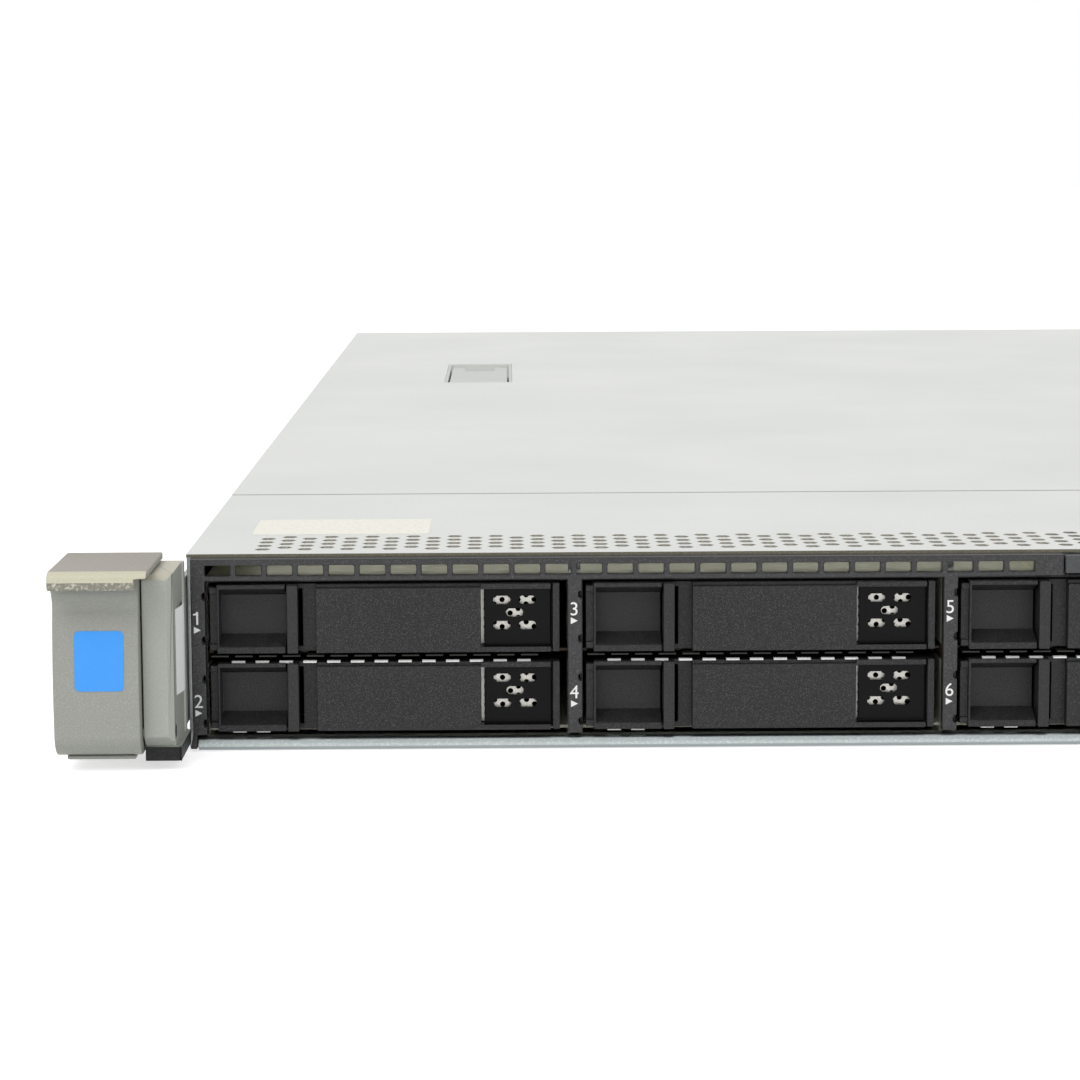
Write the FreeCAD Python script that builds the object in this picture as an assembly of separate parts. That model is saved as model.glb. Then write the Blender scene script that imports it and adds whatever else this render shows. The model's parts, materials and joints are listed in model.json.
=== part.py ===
import FreeCAD, Part
import math
import os

# One-unit rack server.
# Frame: +X to the right seen from the front, +Y to the rear, +Z up, millimetres.
# Origin: the middle of the tray's underside, so the tray's front edge lies at
# -chassis_depth / 2 and the rear edge at +chassis_depth / 2.

os.makedirs("parts", exist_ok=True)
V = FreeCAD.Vector

# ---------------------------------------------------------------- driving sizes
# Enclosure
chassis_height = 43.2
chassis_depth = 698.5
tray_sheet = 1.0
cover_sheet = 0.8
hem_height = 2.8
hem_depth = 4.0
hem_end = 2.3
plate_past_blanks = 13.0
plate_setback = 3.2
seam = 0.4
hood_travel = 12.0
hood_lip = 1.6
slide_gap = 0.2

# Drive bays, counted in columns of two rows
drive_columns = 4
rows = 2
row_gap = 2.2
first_divider = 1.15
divider_width = 3.1
divider_depth = 3.0
bottom_row_z = 4.3
blank_width = 76.4
blank_height = 15.1
blank_depth = 92.0
blank_gap = 0.25
blank_left_gap = 0.65
blank_side_gap = 1.8
wall_gap = 0.1
panel_width = 21.3

# Black front frame
strip_thickness = 2.2
ledge_lap = 1.4
ledge_sheet = 0.8
foot_low = 0.4
vent_slot_width = 5.55
vent_slot_height = 2.33
vent_slot_pitch = 6.75
vent_slots_left = 27
vent_slots_right = 25
vent_slot_rise = 1.12
notch_radius = 0.8
notch_heights = (34.2, 24.5, 15.9, 6.1)

# Serial pull tab
tab_start = 191.9
tab_width = 36.0
tab_height = 3.9
tab_top_gap = 0.2
tab_card = 1.0
tab_length = 62.0

# Cage sheets
cage_sheet = 0.6
partition_tuck = 0.4
shelf_setback = 6.0
finger_width = 3.75
finger_pitch = 5.2
finger_length = 5.4
finger_sheet = 0.3

# Perforated band of the front plate
hole_size = 3.6
hole_pitch = 4.68
hole_row_pitch = 5.4
hole_rows = 4
band_margin = 16.0
band_start = 10.0

# Ears
ear_reach = 23.95
rack_hole_reach = 15.2
rack_hole_radius = 3.5
ear_flange_sheet = 2.0
ear_cheek_width = 6.5
ear_base = 1.9
ear_base_depth = 18.0
ear_foot_reach = 1.2
ear_side_depth = 60.0
ear_side_sheet = 1.2
lever_top = 44.2
lever_depth = 23.5
lever_lip = 5.5
lever_roof_gap = 0.4
lever_roof_lap = 2.6
lever_sole = 0.9
lever_sole_side = 2.1
lever_sole_inset = 3.8
lever_wall = 1.5
lever_bottom = 3.6
lever_back_gap = 1.5
pin_radius = 1.5
pin_clearance = 0.06

# Hood latch
latch_cup_left = 46.6
latch_cup_rim = 2.0
latch_cup_clearance = 2.5
latch_cup_width = 25.1
latch_cup_length = 84.0
latch_cup_depth = 5.8
latch_wall = 1.2
latch_lever_thickness = 3.6
latch_lever_gap = 0.6

# Fans
fan_count = 7
fan_size = 40.0
fan_length = 56.0
fan_past_plate = 45.0
fan_side_gap = 22.35
fan_bore = 18.6
fan_shaft = 1.5
rotor_radius = 17.4
rotor_hub = 9.0
rotor_length = 22.0
rotor_blades = 5
blade_thickness = 1.2
blade_pitch = 42
fan_sides = 12
hub_sides = 10

# Boards and what stands on them
board_thickness = 1.6
board_height = 5.0
board_past_fans = 10.0
memory_length = 133.0
memory_height = 29.5
memory_thickness = 1.3
memory_pitch = 7.6
memory_per_bank = 6
processor_width = 90.0
processor_past_board = 24.0
heatsink_length = 110.0
heatsink_height = 26.0
heatsink_fins = 24
baffle_wall = 1.2
baffle_side = 12.0
baffle_overhang = 20.0
baffle_latch_gap = 37.0
baffle_drop = 2.2
riser_depth = 165.0
riser_back = 30.0
riser_sheet = 1.0

# Power supplies
supply_width = 69.0
supply_height = 39.0
supply_depth = 168.0
supply_gap = 0.6
supply_sheet = 1.0
inlet_width = 27.6
inlet_height = 20.2
inlet_depth = 15.0

# Rear sockets
jack_width = 15.9
jack_height = 13.4
jack_depth = 21.0
usb_width = 12.5
usb_height = 5.12
socket_shell = 0.6

# Buttons
power_radius = 4.0
uid_radius = 2.6
button_length = 6.0
button_proud = 0.6
button_travel = 1.2
button_clearance = 0.08

# ------------------------------------------------------------- derived places
columns = drive_columns + 1
row_pitch = blank_height + row_gap
bay_inset = cage_sheet - partition_tuck + blank_left_gap
bay_pitch = divider_width + bay_inset + blank_width + blank_side_gap
chassis_width = first_divider + columns * bay_pitch + panel_width + 2 * blank_gap + tray_sheet
left = -chassis_width / 2
right = chassis_width / 2
front = -chassis_depth / 2
back = chassis_depth / 2
cover_z = chassis_height - cover_sheet
top_row_z = bottom_row_z + row_pitch
rows_top = top_row_z + blank_height
cage_top = rows_top + blank_gap + cage_sheet
supply_front = back - supply_depth
front_plate_depth = blank_depth + plate_past_blanks
fan_front = front_plate_depth + fan_past_plate
board_front = fan_front + fan_length + board_past_fans
processor_front = board_front + processor_past_board


def block(x0, x1, y0, y1, z0, z1):
    """A box between two limits on each axis."""
    return Part.makeBox(x1 - x0, y1 - y0, z1 - z0, V(x0, y0, z0))


def rod(radius, length, start, direction):
    """A solid cylinder from a start point along a direction."""
    return Part.makeCylinder(radius, length, start, direction)


def polygon_rod(radius, sides, length, start, axis):
    """A many-sided bar about a line along Y or Z; its corners lie on the radius."""
    corners = []
    for index in range(sides):
        angle = 2 * math.pi * (index + 0.5) / sides
        a = radius * math.cos(angle)
        b = radius * math.sin(angle)
        corners.append((start.x + a, start.y, start.z + b) if axis.y else (start.x + a, start.y + b, start.z))
    return prism(corners, axis * length)


def prism(points, sweep):
    """A closed outline of points, swept along a vector."""
    wire = Part.makePolygon([V(*p) for p in points + [points[0]]])
    return Part.Face(wire).extrude(sweep)


def prism_x(outline, x0, x1):
    """A (y, z) outline swept along X."""
    return prism([(x0, y, z) for y, z in outline], V(x1 - x0, 0, 0))


def prism_y(outline, y0, y1):
    """An (x, z) outline swept along Y."""
    return prism([(x, y0, z) for x, z in outline], V(0, y1 - y0, 0))


def prism_z(outline, z0, z1):
    """An (x, y) outline swept along Z."""
    return prism([(x, y, z0) for x, y in outline], V(0, 0, z1 - z0))


def moved(shape, x, y, z):
    """A copy of a shape, shifted."""
    copy = shape.copy()
    copy.translate(V(x, y, z))
    return copy


def mirrored(shape):
    """The same shape on the other side of the server."""
    return shape.mirror(V(0, 0, 0), V(1, 0, 0))


def joined(shapes):
    """Touching shapes made into one solid."""
    return shapes[0].fuse(shapes[1:]).removeSplitter()


def chamfered_slot(width, height, corner):
    """An (x, z) outline of a slot with cut corners, centred on zero."""
    a = width / 2
    b = height / 2
    return [(-a + corner, -b), (a - corner, -b), (a, -b + corner), (a, b - corner),
            (a - corner, b), (-a + corner, b), (-a, b - corner), (-a, -b + corner)]


def keep(name, shape):
    """Write one node, a single solid or a group of separate solids."""
    solid = shape.Solids[0] if len(shape.Solids) == 1 else Part.makeCompound(shape.Solids)
    solid.exportStep("parts/" + name + ".step")


def divider_left(column):
    """Left side of the divider that starts a column."""
    return left + first_divider + column * bay_pitch


def bay_left(column):
    """Left side of the blank in a column."""
    return divider_left(column) + divider_width + bay_inset


# ------------------------------------------------------------------ enclosure
def chassis_tray():
    """Folded steel tray: floor with a rolled front hem, and two side walls."""
    roll = hem_height / 2
    hem_bottom = front + roll
    rolled = [
        Part.LineSegment(V(left, back, 0), V(left, hem_bottom, 0)).toShape(),
        Part.Arc(V(left, hem_bottom, 0), V(left, front, roll), V(left, hem_bottom, hem_height)).toShape(),
        Part.LineSegment(V(left, hem_bottom, hem_height), V(left, front + hem_depth, hem_height)).toShape(),
        Part.LineSegment(V(left, front + hem_depth, hem_height),
                         V(left, front + hem_depth, tray_sheet)).toShape(),
        Part.LineSegment(V(left, front + hem_depth, tray_sheet), V(left, back, tray_sheet)).toShape(),
        Part.LineSegment(V(left, back, tray_sheet), V(left, back, 0)).toShape(),
    ]
    floor = Part.Face(Part.Wire(rolled)).extrude(V(chassis_width, 0, 0))
    wall = block(left, left + tray_sheet, front + hem_depth, back, 0, cover_z)
    corner = block(left - 1, left + hem_end, front - 1, front + hem_depth, -1, hem_height + 1)
    return joined([floor, wall, mirrored(wall)]).cut([corner, mirrored(corner)])


def hole_centres():
    """Centres of the staggered band of holes, from the left margin to the right."""
    usable = chassis_width - 2 * band_margin
    count = int(usable / hole_pitch) + 1
    first = -(count - 1) * hole_pitch / 2
    for column in range(count):
        shift = hole_row_pitch / 2 * (column % 2)
        for row in range(hole_rows):
            yield first + column * hole_pitch, front + band_start + shift + row * hole_row_pitch


def front_top_plate():
    """Fixed plate over the drive bays, with the perforated air band."""
    half = hole_size / 2
    start = front + plate_setback
    end = front + front_plate_depth
    sheet = [V(left, start, cover_z), V(right, start, cover_z), V(right, end, cover_z), V(left, end, cover_z)]
    wires = [Part.makePolygon(sheet + [sheet[0]])]
    for x, y in hole_centres():
        corners = [V(x - half, y, cover_z), V(x, y + half, cover_z), V(x + half, y, cover_z),
                   V(x, y - half, cover_z)]
        wires.append(Part.makePolygon(corners + [corners[0]]))
    return Part.Face(wires).extrude(V(0, 0, cover_sheet))


def latch_cup_limits():
    """Left, right, front and rear sides of the recess in the hood."""
    x0 = left + latch_cup_left
    y1 = supply_front - hood_travel - latch_cup_rim - latch_cup_clearance
    return x0, x0 + latch_cup_width, y1 - latch_cup_length, y1


def hood():
    """Sliding cover with two inner side flanges and an opening for the latch cup."""
    start = front + front_plate_depth + seam
    end = back - seam
    x0, x1, y0, y1 = latch_cup_limits()
    top = block(left, right, start, end, cover_z, chassis_height)
    inner = left + tray_sheet + slide_gap
    flange_end = supply_front - hood_travel - 3
    flange = block(inner, inner + cover_sheet, start, flange_end, cover_z - hood_lip, cover_z)
    opening = block(x0, x1, y0, y1, cover_z - 1, chassis_height + 1)
    return joined([top, flange, mirrored(flange)]).cut(opening)


def latch_pin():
    """Height and rear offset of the latch lever's pivot."""
    y0 = latch_cup_limits()[2]
    radius = latch_lever_thickness / 2
    return y0 + latch_wall + latch_lever_gap + radius, chassis_height - 0.4 - radius


def hood_latch_cup():
    """Moulded recess under the hood that carries the lever's pivot."""
    x0, x1, y0, y1 = latch_cup_limits()
    bottom = chassis_height - latch_cup_depth
    cup = block(x0, x1, y0, y1, bottom, chassis_height)
    rim = block(x0 - latch_cup_rim, x1 + latch_cup_rim, y0 - latch_cup_rim, y1 + latch_cup_rim,
                cover_z - 1.0, cover_z)
    inside = block(x0 + latch_wall, x1 - latch_wall, y0 + latch_wall, y1 - latch_wall,
                   bottom + latch_wall, chassis_height + 1)
    y, z = latch_pin()
    bore = rod(pin_radius - 0.3 + pin_clearance, latch_cup_width + 2, V(x0 - 1, y, z), V(1, 0, 0))
    return joined([cup, rim]).cut([inside, bore])


def hood_latch_lever():
    """Flat lever with a round pivot end, stub pins and a finger hollow at its free end."""
    x0, x1, y0, y1 = latch_cup_limits()
    a = x0 + latch_wall + latch_lever_gap
    b = x1 - latch_wall - latch_lever_gap
    end = y1 - latch_wall - 12.0
    y, z = latch_pin()
    radius = latch_lever_thickness / 2
    barrel = rod(radius, b - a, V(a, y, z), V(1, 0, 0))
    blade = block(a, b, y, end, z - radius, z + radius)
    stubs = rod(pin_radius - 0.3, latch_cup_width - 0.6, V(x0 + 0.3, y, z), V(1, 0, 0))
    middle = (a + b) / 2
    top = z + radius
    hollow = prism_y([(middle - 7, top + 1), (middle - 5, top - 1.4), (middle + 5, top - 1.4),
                      (middle + 7, top + 1)], end - 16, end + 1)
    return joined([barrel, blade, stubs]).cut(hollow)


# ------------------------------------------------------------- front and bays
def tab_limits():
    """Left and right side of the pull tab."""
    return left + tab_start, left + tab_start + tab_width


def vent_slot_starts():
    """Left sides of the strip's air slots, on both sides of the pull tab."""
    begin = left + first_divider + divider_width
    for index in range(vent_slots_left):
        yield begin + index * vent_slot_pitch
    end = divider_left(columns) - divider_width
    for index in range(vent_slots_right):
        yield end - vent_slot_width - index * vent_slot_pitch


def notch_outline(x, z):
    """Half-octagon notch in the right-hand edge of a divider."""
    r = notch_radius
    return [(x + 1, z - r), (x - r / 2, z - r), (x - r, z - r / 2), (x - r, z + r / 2),
            (x - r / 2, z + r), (x + 1, z + r)]


def front_frame():
    """One black moulding: the slotted strip under the top plate and the bay dividers."""
    end = divider_left(columns)
    start = divider_left(0)
    ledge_end = front + plate_setback + ledge_lap
    strip = block(start, end, front, front + strip_thickness, cage_top, cover_z)
    ledge = block(start, end, front, ledge_end, cover_z - ledge_sheet, cover_z)
    foot_top = hem_height + 0.7
    foot = prism_y([(start, foot_top), (start + 0.9, foot_top), (left + hem_end - 0.2, foot_low),
                    (left + 0.5, foot_low)], front, front + strip_thickness)
    parts = [strip, ledge, foot]
    for column in range(columns):
        x = divider_left(column)
        flange = block(x, x + divider_width, front, front + divider_depth, foot_top, cage_top)
        notches = [prism_y(notch_outline(x + divider_width, z), front - 1, front + divider_depth + 1)
                   for z in notch_heights]
        parts.append(flange.cut(notches))
    frame = joined(parts)
    slot_z = cage_top + vent_slot_rise
    cuts = [block(x, x + vent_slot_width, front - 1, front + strip_thickness + 1,
                  slot_z, slot_z + vent_slot_height) for x in vent_slot_starts()]
    a, b = tab_limits()
    cuts.append(block(a - blank_gap, b + blank_gap, front - 1, ledge_end + 1,
                      tab_bottom() - blank_gap, cover_z + 1))
    return frame.cut(cuts)


def tab_bottom():
    """Underside of the pull tab's head, which lies close under the top plate."""
    return cover_z - tab_top_gap - tab_height


def serial_tab():
    """Pull-out card with a thicker grip at its front end."""
    a, b = tab_limits()
    z = tab_bottom()
    grip = block(a, b, front - 0.6, front + strip_thickness, z, z + tab_height)
    middle = z + tab_height / 2
    card = block(a + 1.5, b - 1.5, front + strip_thickness, front + tab_length,
                 middle - tab_card / 2, middle + tab_card / 2)
    stop = block(a - 1.5, b + 1.5, front + tab_length - 3, front + tab_length,
                 middle - tab_card / 2, middle + tab_card / 2)
    return joined([grip, card, stop])


def shelf(x0, x1, z):
    """Thin shelf of the cage, from side to side of one column."""
    return block(x0, x1, front + shelf_setback, front + blank_depth, z, z + cage_sheet)


def finger_row(x0, x1, z):
    """Shelf with a comb of contact fingers along its front edge."""
    count = int((x1 - x0 - 1.0) / finger_pitch)
    comb = [block(x0 + 1.0 + i * finger_pitch, x0 + 1.0 + i * finger_pitch + finger_width,
                  front + shelf_setback - finger_length, front + shelf_setback, z, z + finger_sheet)
            for i in range(count)]
    return [shelf(x0, x1, z)] + comb


def partition_left(column):
    """Left side of the sheet at a column's right; only the last has no divider to stand behind."""
    x = divider_left(column + 1)
    return x if column < drive_columns else x - cage_sheet - wall_gap


def drive_cage():
    """Zinc-plated cage: top sheet, partitions in pairs, lower and middle shelves, tab guides."""
    cage_front = front + divider_depth
    cage_back = front + front_plate_depth - 1.0
    x0 = divider_left(0) + divider_width
    x1 = divider_left(columns)
    parts = [block(x0, x1, front + divider_depth, cage_back, cage_top - cage_sheet, cage_top)]
    lower = bottom_row_z - blank_gap - cage_sheet
    middle = top_row_z - blank_gap - cage_sheet
    for column in range(columns):
        left_wall = divider_left(column) + divider_width - partition_tuck
        right_wall = partition_left(column)
        for x in (left_wall, right_wall):
            parts.append(block(x, x + cage_sheet, cage_front, cage_back, hem_height + 0.3, cage_top))
            parts.append(block(x, x + cage_sheet, front + hem_depth + 0.3, cage_back, tray_sheet,
                               hem_height + 0.3))
        inner = (left_wall + cage_sheet, right_wall)
        parts.append(shelf(*inner, lower))
        if column < drive_columns:
            parts += finger_row(*inner, middle)
    return joined(parts + tab_guides())


def tab_guides():
    """Two channels on the cage that carry the edges of the pull tab's card."""
    a, b = tab_limits()
    middle = tab_bottom() + tab_height / 2
    gap = blank_gap + tab_card / 2
    guides = []
    for x0, x1 in ((a - 5.0, a - 1.5 - blank_gap), (b + 1.5 + blank_gap, b + 5.0)):
        guides.append(block(x0, x1, front + 8, front + tab_length + 3, cage_top, middle + gap + 0.8))
    for x0, x1 in ((a - 1.5 - blank_gap, a + 3.0), (b - 3.0, b + 1.5 + blank_gap)):
        guides.append(block(x0, x1, front + 8, front + tab_length + 3, cage_top, middle - gap))
    return guides


# Sizes of a drive blank's face, from its left side and its underside
clip_width = 1.7
clip_setback = 1.5
scoop_left = 2.2
scoop_depth = 5.0
scoop_top_lip = 0.9
scoop_bottom_lip = 1.4
scoop_slope = 2.2
latch_left = 16.9
latch_width = 2.5
latch_travel = 2.0
latch_gap = 0.3
latch_head_depth = 2.2
tongue_width = 1.0
recess_right = 23.3
panel_drop = 0.8
slit_width = 0.7
vent_width = 14.6
vent_depth = 2.0
rib_width = 1.5
rib_gap = 0.4
rib_left = blank_width - rib_width
vent_right = rib_left - rib_gap
panel_right = vent_right - vent_width - slit_width
face_wall = 1.2
moulding_depth = 12.0
rail_low = 3.5
rail_high = 11.5
grille_slot_width = 3.75
grille_slot_height = 1.9
grille_step = 2.8
grille_side = 7.9
grille_drop = 6.75
grille_steps = ((-1, -1), (1, -1), (0, 0), (-1, 1), (1, 1))
grille_places = [(vent_right - grille_side + a * grille_step, grille_drop + b * grille_step)
                 for a, b in grille_steps]


def drive_blank():
    """Moulded blank for one bay, at the origin: scoop, latch recess, panel and grille."""
    height = blank_height
    body = block(clip_width, blank_width, 0, moulding_depth, 0, height)
    clip = block(0, clip_width, clip_setback, moulding_depth, 0.6, height - 0.6)
    nubs = [block(0, clip_width, clip_setback - 0.7, clip_setback, z, z + 1.4) for z in (0.6, height - 2.0)]
    rail = block(0, clip_width, moulding_depth, blank_depth, rail_low, rail_high)
    other_rail = moved(rail, blank_width - clip_width, 0, 0)
    crossbar = block(0, blank_width, blank_depth - face_wall, blank_depth, rail_low, rail_high)
    scoop = prism_x([(-1, scoop_bottom_lip), (0, scoop_bottom_lip),
                     (scoop_depth, scoop_bottom_lip + scoop_slope),
                     (scoop_depth, height - scoop_top_lip - scoop_slope + 0.3),
                     (0, height - scoop_top_lip), (-1, height - scoop_top_lip)],
                    scoop_left, latch_left - latch_gap)
    grille_back = vent_depth + face_wall
    inner = (face_wall, height - face_wall)
    tongue_end = latch_left + tongue_width + latch_travel + latch_gap
    cuts = [
        scoop,
        block(latch_left - latch_gap, recess_right, -1, latch_head_depth + latch_gap, -1, height + 1),
        block(latch_left - latch_gap, tongue_end, -1, moulding_depth + 1, *inner),
        block(recess_right - 0.1, panel_right, -1, face_wall, height - panel_drop, height + 1),
        block(panel_right, panel_right + slit_width, -1, moulding_depth + 1, *inner),
        block(panel_right + slit_width, vent_right, -1, vent_depth, *inner),
        block(vent_right, rib_left, -1, grille_back, -1, height + 1),
        block(rib_left, blank_width + 1, -1, 0.5, -1, height + 1),
        block(clip_width + face_wall, latch_left - latch_gap - face_wall, scoop_depth + face_wall,
              moulding_depth + 1, *inner),
        block(recess_right + face_wall, panel_right - face_wall, face_wall, moulding_depth + 1,
              face_wall, height - panel_drop - face_wall),
        block(panel_right + slit_width, vent_right - face_wall, grille_back, moulding_depth + 1, *inner),
    ]
    slot = chamfered_slot(grille_slot_width, grille_slot_height, grille_slot_height * 0.3)
    for x, drop in grille_places:
        outline = [(x + dx, height - drop + dz) for dx, dz in slot]
        cuts.append(prism_y(outline, 0, moulding_depth))
    return joined([body, clip, rail, other_rail, crossbar] + nubs).cut(cuts)


def blank_latch():
    """Upright latch bar of a blank, with the tongue that reaches back to its catch."""
    head = block(latch_left, latch_left + latch_width, -0.6, latch_head_depth, 0, blank_height)
    low = face_wall + latch_gap
    tongue = block(latch_left, latch_left + tongue_width, latch_head_depth, moulding_depth + 10,
                   low, blank_height - low)
    catch = prism_z([(latch_left + 0.2, moulding_depth + 4), (latch_left - 1.6, moulding_depth + 6),
                     (latch_left - 1.6, moulding_depth + 8), (latch_left + 0.2, moulding_depth + 8)],
                    low + 3, blank_height - low - 3)
    return joined([head, tongue, catch])


def media_bay_blank():
    """Double-height blank of the fifth column, with a scoop and a field of slots."""
    height = rows_top - bottom_row_z
    body = block(0, blank_width, 0, moulding_depth, 0, height)
    inner = (face_wall, height - face_wall)
    grip = [(-1, scoop_bottom_lip), (0, scoop_bottom_lip), (scoop_depth, scoop_bottom_lip + scoop_slope),
            (scoop_depth, height - scoop_bottom_lip - scoop_slope), (0, height - scoop_bottom_lip),
            (-1, height - scoop_bottom_lip)]
    cuts = [prism_x(grip, scoop_left, latch_left),
            block(clip_width, latch_left, scoop_depth + face_wall, moulding_depth + 1, *inner),
            block(latch_left + face_wall, panel_right, face_wall, moulding_depth + 1, *inner),
            block(panel_right + face_wall, vent_right, -1, vent_depth, *inner),
            block(panel_right + face_wall, vent_right, vent_depth + face_wall, moulding_depth + 1, *inner)]
    slot = chamfered_slot(grille_slot_width, grille_slot_height, grille_slot_height * 0.3)
    for shift in (0, row_pitch):
        for x, drop in grille_places:
            outline = [(x + dx, height - drop - shift + dz) for dx, dz in slot]
            cuts.append(prism_y(outline, 0, moulding_depth))
    rails = [block(x, x + clip_width, moulding_depth, blank_depth, rail_low, rail_high)
             for x in (0, blank_width - clip_width)]
    return joined([body.cut(cuts)] + rails)


# ----------------------------------------------------------------------- ears
ear_cheek_gap = 0.4
ear_cheek_depth = 20.0
ear_cheek_corner = 1.3
ear_low = 5.0
ear_high = 42.3
lever_gap = 0.3
lever_overhang = 1.35
contact_bow = 1.0
contact_sheet = 0.35
contact_reach = 15.0
contact_low = 15.5
contact_high = 34.0
pivot_forward = 17.0
pivot_height = 8.2
rack_hole_height = chassis_height / 2


def cheek_left():
    """Outer side of the left ear's cheek, next to the lever."""
    return left - ear_cheek_gap - ear_cheek_width


def cheek_right():
    """Inner side of the left ear's cheek, towards the bays."""
    return cheek_left() + ear_cheek_width


def ear_bracket():
    """Left bracket: rack flange with its screw hole, cheek for the lever pivot, side plate."""
    outer = left - ear_reach
    flange = block(outer, left, front - ear_flange_sheet, front, ear_base, ear_high)
    side = block(left - ear_side_sheet, left, front, front + ear_side_depth, ear_low + 1, ear_high - 4)
    cut = 2.5
    face = front - ear_cheek_depth
    cheek = prism_x([(front - ear_flange_sheet, ear_low), (face + cut, ear_low), (face, ear_low + cut),
                     (face, ear_high - cut / 2), (face + cut / 2, ear_high),
                     (front - ear_flange_sheet, ear_high)], cheek_left(), cheek_right())
    base_front = front - ear_base_depth
    foot = block(cheek_left(), cheek_right() + ear_foot_reach, base_front, front, ear_base, ear_low)
    corner = ear_cheek_corner
    edge = prism_z([(cheek_right() - corner, face - 1), (cheek_right() + 1, face - 1),
                    (cheek_right() + 1, face + corner + 1), (cheek_right(), face + corner),
                    (cheek_right() - corner, face)], ear_base - 1, ear_high + 1)
    hole = rod(rack_hole_radius, 10, V(left - rack_hole_reach, front - 5, rack_hole_height), V(0, 1, 0))
    bore = rod(pin_radius + pin_clearance, ear_cheek_width + 2,
               V(cheek_left() - 1, front - pivot_forward, pivot_height), V(1, 0, 0))
    return joined([flange, side, cheek, foot]).cut([hole, bore, edge])


def lever_limits():
    """Outer and inner side of the left lever."""
    return left - ear_reach - lever_overhang, cheek_left() - lever_gap


def ear_lever():
    """Left quick-release lever: hooked lip, concave finger scoop, hollow back."""
    x0, x1 = lever_limits()
    rear = front - ear_flange_sheet - lever_back_gap
    face = front - lever_depth
    lip = face - lever_lip
    roof = front - lever_roof_gap
    top = lever_top
    low = lever_bottom
    corner = [V(x0, roof, top), V(x0, lip + 2, top), V(x0, lip + 0.5, top - 0.7), V(x0, lip, top - 2.2),
              V(x0, lip + 0.3, top - 4), V(x0, face + 0.1, top - 5.8), V(x0, face + 0.8, top - 10),
              V(x0, face - 0.3, top - 22), V(x0, face, low + 5.5), V(x0, face + 1.5, low + 1.5),
              V(x0, face + 5.5, low), V(x0, rear, low), V(x0, rear, top - lever_wall),
              V(x0, roof, top - lever_wall)]
    edges = [
        Part.LineSegment(corner[0], corner[1]).toShape(),
        Part.Arc(corner[1], corner[2], corner[3]).toShape(),
        Part.LineSegment(corner[3], corner[4]).toShape(),
        Part.Arc(corner[4], corner[5], corner[6]).toShape(),
        Part.Arc(corner[6], corner[7], corner[8]).toShape(),
        Part.Arc(corner[8], corner[9], corner[10]).toShape(),
    ]
    edges += [Part.LineSegment(corner[i], corner[(i + 1) % len(corner)]).toShape() for i in range(10, 14)]
    sole = block(x0 + lever_sole_side, x1 - lever_wall, face + lever_sole_inset, rear, low - lever_sole, low)
    profile = Part.Face(Part.Wire(edges))
    roof_slab = block(x0, x1 + lever_roof_lap, lip - 1, front, top - lever_wall, top + 1)
    wide_roof = profile.extrude(V(x1 + lever_roof_lap - x0, 0, 0)).common(roof_slab)
    body = joined([profile.extrude(V(x1 - x0, 0, 0)), wide_roof, sole])
    hollow = prism_x([(rear + 1, low + lever_wall), (face + 6.2, low + lever_wall), (face + 2, low + 6.5),
                      (face + 1.6, top - 22), (face + 2.6, top - 10), (face + 3, top - lever_wall - 3),
                      (face + 4, top - lever_wall), (rear + 1, top - lever_wall)],
                     x0 + lever_wall, x1 - lever_wall)
    bore = rod(pin_radius + pin_clearance, x1 - x0 + 2,
               V(x0 - 1, front - pivot_forward, pivot_height), V(1, 0, 0))
    return body.cut([hollow, bore])


def ear_pin():
    """Left pivot pin, from the lever's outer wall into the cheek."""
    x0 = lever_limits()[0] + 0.2
    x1 = cheek_right()
    return rod(pin_radius, x1 - x0, V(x0, front - pivot_forward, pivot_height), V(1, 0, 0))


def grounding_strip():
    """Left contact strip, bowed out from the cheek's inner side."""
    x = cheek_right()
    crest = x + contact_bow
    thin = contact_sheet
    a = front - contact_reach
    b = front - ear_flange_sheet
    middle = (a + b) / 2
    bow = [(x, a), (crest, middle - 1), (crest, middle + 1), (x, b), (x, b - 2 * thin),
           (crest - thin, middle + 1 - thin), (crest - thin, middle - 1 + thin), (x, a + 2 * thin)]
    return prism_z(bow, contact_low, contact_high)


# -------------------------------------------------------------- control panel
def panel_limits():
    """Left and right side of the control panel."""
    return divider_left(columns) + blank_gap, right - tray_sheet - blank_gap


panel_depth = 30.0
panel_low = 3.2
power_height = 34.0
uid_height = 25.0
front_usb_height = 12.6
usb_depth = 14.0


def panel_centre():
    """Middle of the control panel."""
    x0, x1 = panel_limits()
    return (x0 + x1) / 2


def control_panel():
    """Moulded block at the right end, with button bores and a pocket for the socket."""
    x0, x1 = panel_limits()
    x = panel_centre()
    body = block(x0, x1, front, front + panel_depth, panel_low, cover_z)
    depth = button_length + button_travel
    cuts = [rod(radius + button_clearance, depth + 1, V(x, front - 1, z), V(0, 1, 0))
            for radius, z in ((power_radius, power_height), (uid_radius, uid_height))]
    a = usb_height / 2 + socket_shell
    b = usb_width / 2 + socket_shell
    cuts.append(block(x - a, x + a, front - 1, front + usb_depth, front_usb_height - b, front_usb_height + b))
    return body.cut(cuts)


def front_button(radius, z):
    """Round push button, slightly proud of the control panel."""
    return rod(radius, button_length + button_proud, V(panel_centre(), front - button_proud, z), V(0, 1, 0))


def front_usb():
    """Upright socket shell in the control panel."""
    x = panel_centre()
    a = usb_height / 2
    b = usb_width / 2
    z = front_usb_height
    shell = block(x - a - socket_shell, x + a + socket_shell, front, front + usb_depth,
                  z - b - socket_shell, z + b + socket_shell)
    return shell.cut(block(x - a, x + a, front - 1, front + usb_depth - 1, z - b, z + b))


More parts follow.
